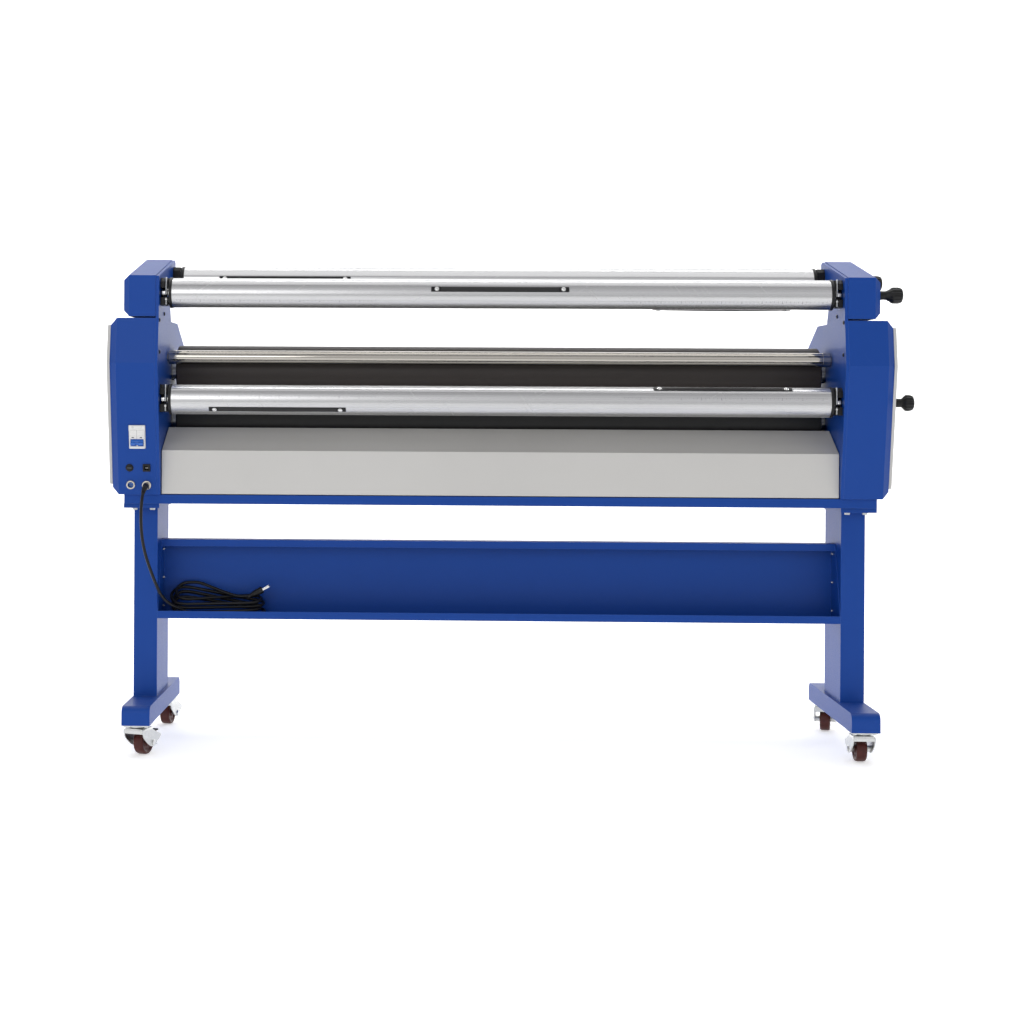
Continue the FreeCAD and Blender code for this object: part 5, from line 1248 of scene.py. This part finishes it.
def crown():
    """The pressed top of a fork: its section bends down into each cheek on a quarter circle, is
    carried from front to back, and dips to a rolled lip at the open front."""
    half, bend = 0.0279, 0.0060
    turn_down = np.linspace(0, np.pi / 2, 6)
    top = 0.0709
    outer = np.column_stack([half - bend + bend * np.sin(turn_down), top - bend + bend * np.cos(turn_down)])
    outer = np.vstack([outer, [[half, 0.0590]]])
    inner = outer - np.column_stack([np.linspace(0, 0.0028, len(outer)),
                                     np.linspace(0.0028, 0, len(outer))])
    inner[-1] = (half - 0.0028, 0.0590)
    mirror = (-1, 1)
    section = np.vstack([outer[::-1] * mirror, outer, inner[::-1], inner * mirror])
    steps = np.array([(-0.0238, -0.0012), (-0.0230, -0.0004), (-0.0215, 0.0), (0.0240, 0.0),
                      (0.0258, -0.0008)])
    rings_of_points = np.stack([np.column_stack([section[:, 0], np.full(len(section), y),
                                                 section[:, 1] + drop])
                                for y, drop in steps])
    return capped(rings_of_points)


def casters():
    """Swivel forks, moulded wheels and the two brake levers, each turned to its own swing."""
    caster_plates()
    for name, swing in CASTER_SWINGS.items():
        place = caster_place(name)
        turned_by = turn("Z", -swing)

        def set_down(parts):
            """Swing the parts about the swivel and stand them in place."""
            return [(shifted(rotated(surface, turned_by), *place), material) for surface, material in parts]

        neck = eased([(0.0660, 0.004), (0.0655, 0.0165), (0.0690, 0.0205), (0.0712, 0.0205),
                      (0.0717, 0.0165), (0.0717, 0.004)], 0.001, 3)
        fork = [(rotated(turned(neck, 56), TO_TOP), zinc), (crown(), zinc),
                (rounded_box((-0.0268, -0.0238, 0.0575), (0.0268, -0.0214, 0.0685), 0.0010), zinc)]
        for side in SIDES.values():
            low, high = sorted((side * 0.0252, side * 0.0280))
            fork.append((slab(fork_cheek(), low, high, 0.0006), zinc))
            facing = np.diag([side, 1.0, 1.0])
            nut = turned([(0.0, 0.001), (0.0, 0.0078), (0.0022, 0.0078), (0.0029, 0.0068),
                          (0.0029, 0.001)], 6)
            fork.append((shifted(rotated(nut, facing), side * 0.0280, *AXLE[1:]), bright_steel))
            spacer = turned([(0.0142, 0.0052), (0.0142, 0.0074), (0.0252, 0.0080), (0.0252, 0.0052)], 28)
            fork.append((shifted(rotated(spacer, facing), *AXLE), zinc))
        axle = turned([(-0.0300, 0.0005), (-0.0300, 0.0046), (-0.0295, 0.0049), (0.0295, 0.0049),
                       (0.0300, 0.0046), (0.0300, 0.0005)], 24)
        fork.append((shifted(axle, *AXLE), bright_steel))
        if name in BRAKED:
            pin = turned([(-0.0280, 0.0003), (-0.0280, 0.0019), (0.0280, 0.0019), (0.0280, 0.0003)], 16)
            fork.append((shifted(pin, *LEVER_PIVOT), bright_steel))
        piece(name + "_swivel_fork", name + "_fork", set_down(fork), replaces=[name + "_fork"],
              smooth=35)

        tread = eased([(-0.0139, 0.0052), (-0.0139, 0.0090), (-0.0122, 0.0098), (-0.0100, 0.0112),
                       (-0.0096, 0.0205), (-0.0118, 0.0222),
                       (-0.0134, 0.0258), (-0.0126, 0.0295), (-0.0085, 0.0310), (0.0085, 0.0310),
                       (0.0126, 0.0295),
                       (0.0134, 0.0258), (0.0118, 0.0222), (0.0096, 0.0205), (0.0100, 0.0112),
                       (0.0122, 0.0098),
                       (0.0139, 0.0090), (0.0139, 0.0052)], 0.0014, 3)
        tread = np.vstack([tread, tread[:1]])
        angle = np.linspace(0, 2 * np.pi, 96, endpoint=False)
        ring_points = np.stack([tread[:, :1] + 0 * angle, tread[:, 1:] * np.cos(angle),
                                tread[:, 1:] * np.sin(angle)], 2)
        wheel = [((ring_points.reshape(-1, 3), quads(len(tread), 96)), wheel_resin)]
        for index in range(6):
            rib = rounded_box((-0.0104, -0.0009, 0.0095), (0.0104, 0.0009, 0.0220), 0.0005)
            wheel.append((rotated(rib, turn("X", index * 60)), wheel_resin))
        sleeve = turned([(-0.01395, 0.0053), (-0.01395, 0.0070), (0.01395, 0.0070), (0.01395, 0.0053)], 32)
        wheel.append((sleeve, zinc))
        wheel = [(shifted(surface, *AXLE), material) for surface, material in wheel]
        piece(name + "_moulded_wheel", name + "_wheel", set_down(wheel), replaces=[name + "_wheel"],
              smooth=40)

        if name in BRAKED:
            piece(name + "_brake_lever", name + "_pedal", set_down(brake_lever()),
                  replaces=[name + "_pedal"],
                  smooth=40)


def brake_lever():
    """An oval black tread plate that dips in the middle, on a bent steel strap with a lower tab."""
    u = np.linspace(0, 2 * np.pi, 48, endpoint=False)
    outline = np.column_stack([0.0118 * np.sign(np.cos(u)) * np.abs(np.cos(u)) ** 0.7,
                               0.0768 + 0.0130 * np.sign(np.sin(u)) * np.abs(np.sin(u)) ** 0.8])
    levels = ((0.0510, 0.90), (0.0516, 1.0), (0.0533, 1.0), (0.0540, 0.94), (0.0536, 0.80))
    middle_y = 0.0768
    rings_of_points = np.stack([np.column_stack([outline[:, 0] * grow,
                                                 middle_y + (outline[:, 1] - middle_y) * grow,
                                                 np.full(len(u), z)]) for z, grow in levels])
    parts = [(capped(rings_of_points), black_plastic)]
    for row in range(4):
        y = 0.0695 + row * 0.0048
        parts.append((rounded_box((-0.0080, y - 0.0006, 0.0534), (0.0080, y + 0.0006, 0.05395), 0.0002),
                      black_plastic))
    strap = np.array([(0.0620, 0.0490), (0.0632, 0.0440), (0.0642, 0.0400), (0.0642, 0.0220),
                      (0.0650, 0.0176), (0.0690, 0.0170), (0.0778, 0.0170)])
    bend = eased(strap, 0.004, 4)
    path = np.column_stack([np.zeros(len(bend)), bend])
    strip_section = eased([(-0.0118, -0.0010), (0.0118, -0.0010), (0.0118, 0.0010), (-0.0118, 0.0010)],
                          0.0005, 2, closed=True)
    normal = np.gradient(path, axis=0)
    normal /= np.linalg.norm(normal, axis=1, keepdims=True)
    across = np.column_stack([np.zeros(len(path)), -normal[:, 2], normal[:, 1]])
    rings_of_points = (path[:, None] + strip_section[None, :, :1] * np.array([1.0, 0, 0])
                       + strip_section[None, :, 1:] * across[:, None])
    parts.append((capped(rings_of_points), zinc))
    hub_ring = turned([(-0.0120, 0.0022), (-0.0120, 0.0045), (0.0120, 0.0045), (0.0120, 0.0022)], 28)
    parts.append((shifted(hub_ring, *LEVER_PIVOT), zinc))
    return parts


sheet_work()
core_shafts()
latches()
tension_knobs()
rollers()
guide_bar()
handwheel()
breaker()
fittings()
gland()
operator_controls()
bolts()
dress("drive_chain", black_steel)
casters()
lead()
camera()
studio()
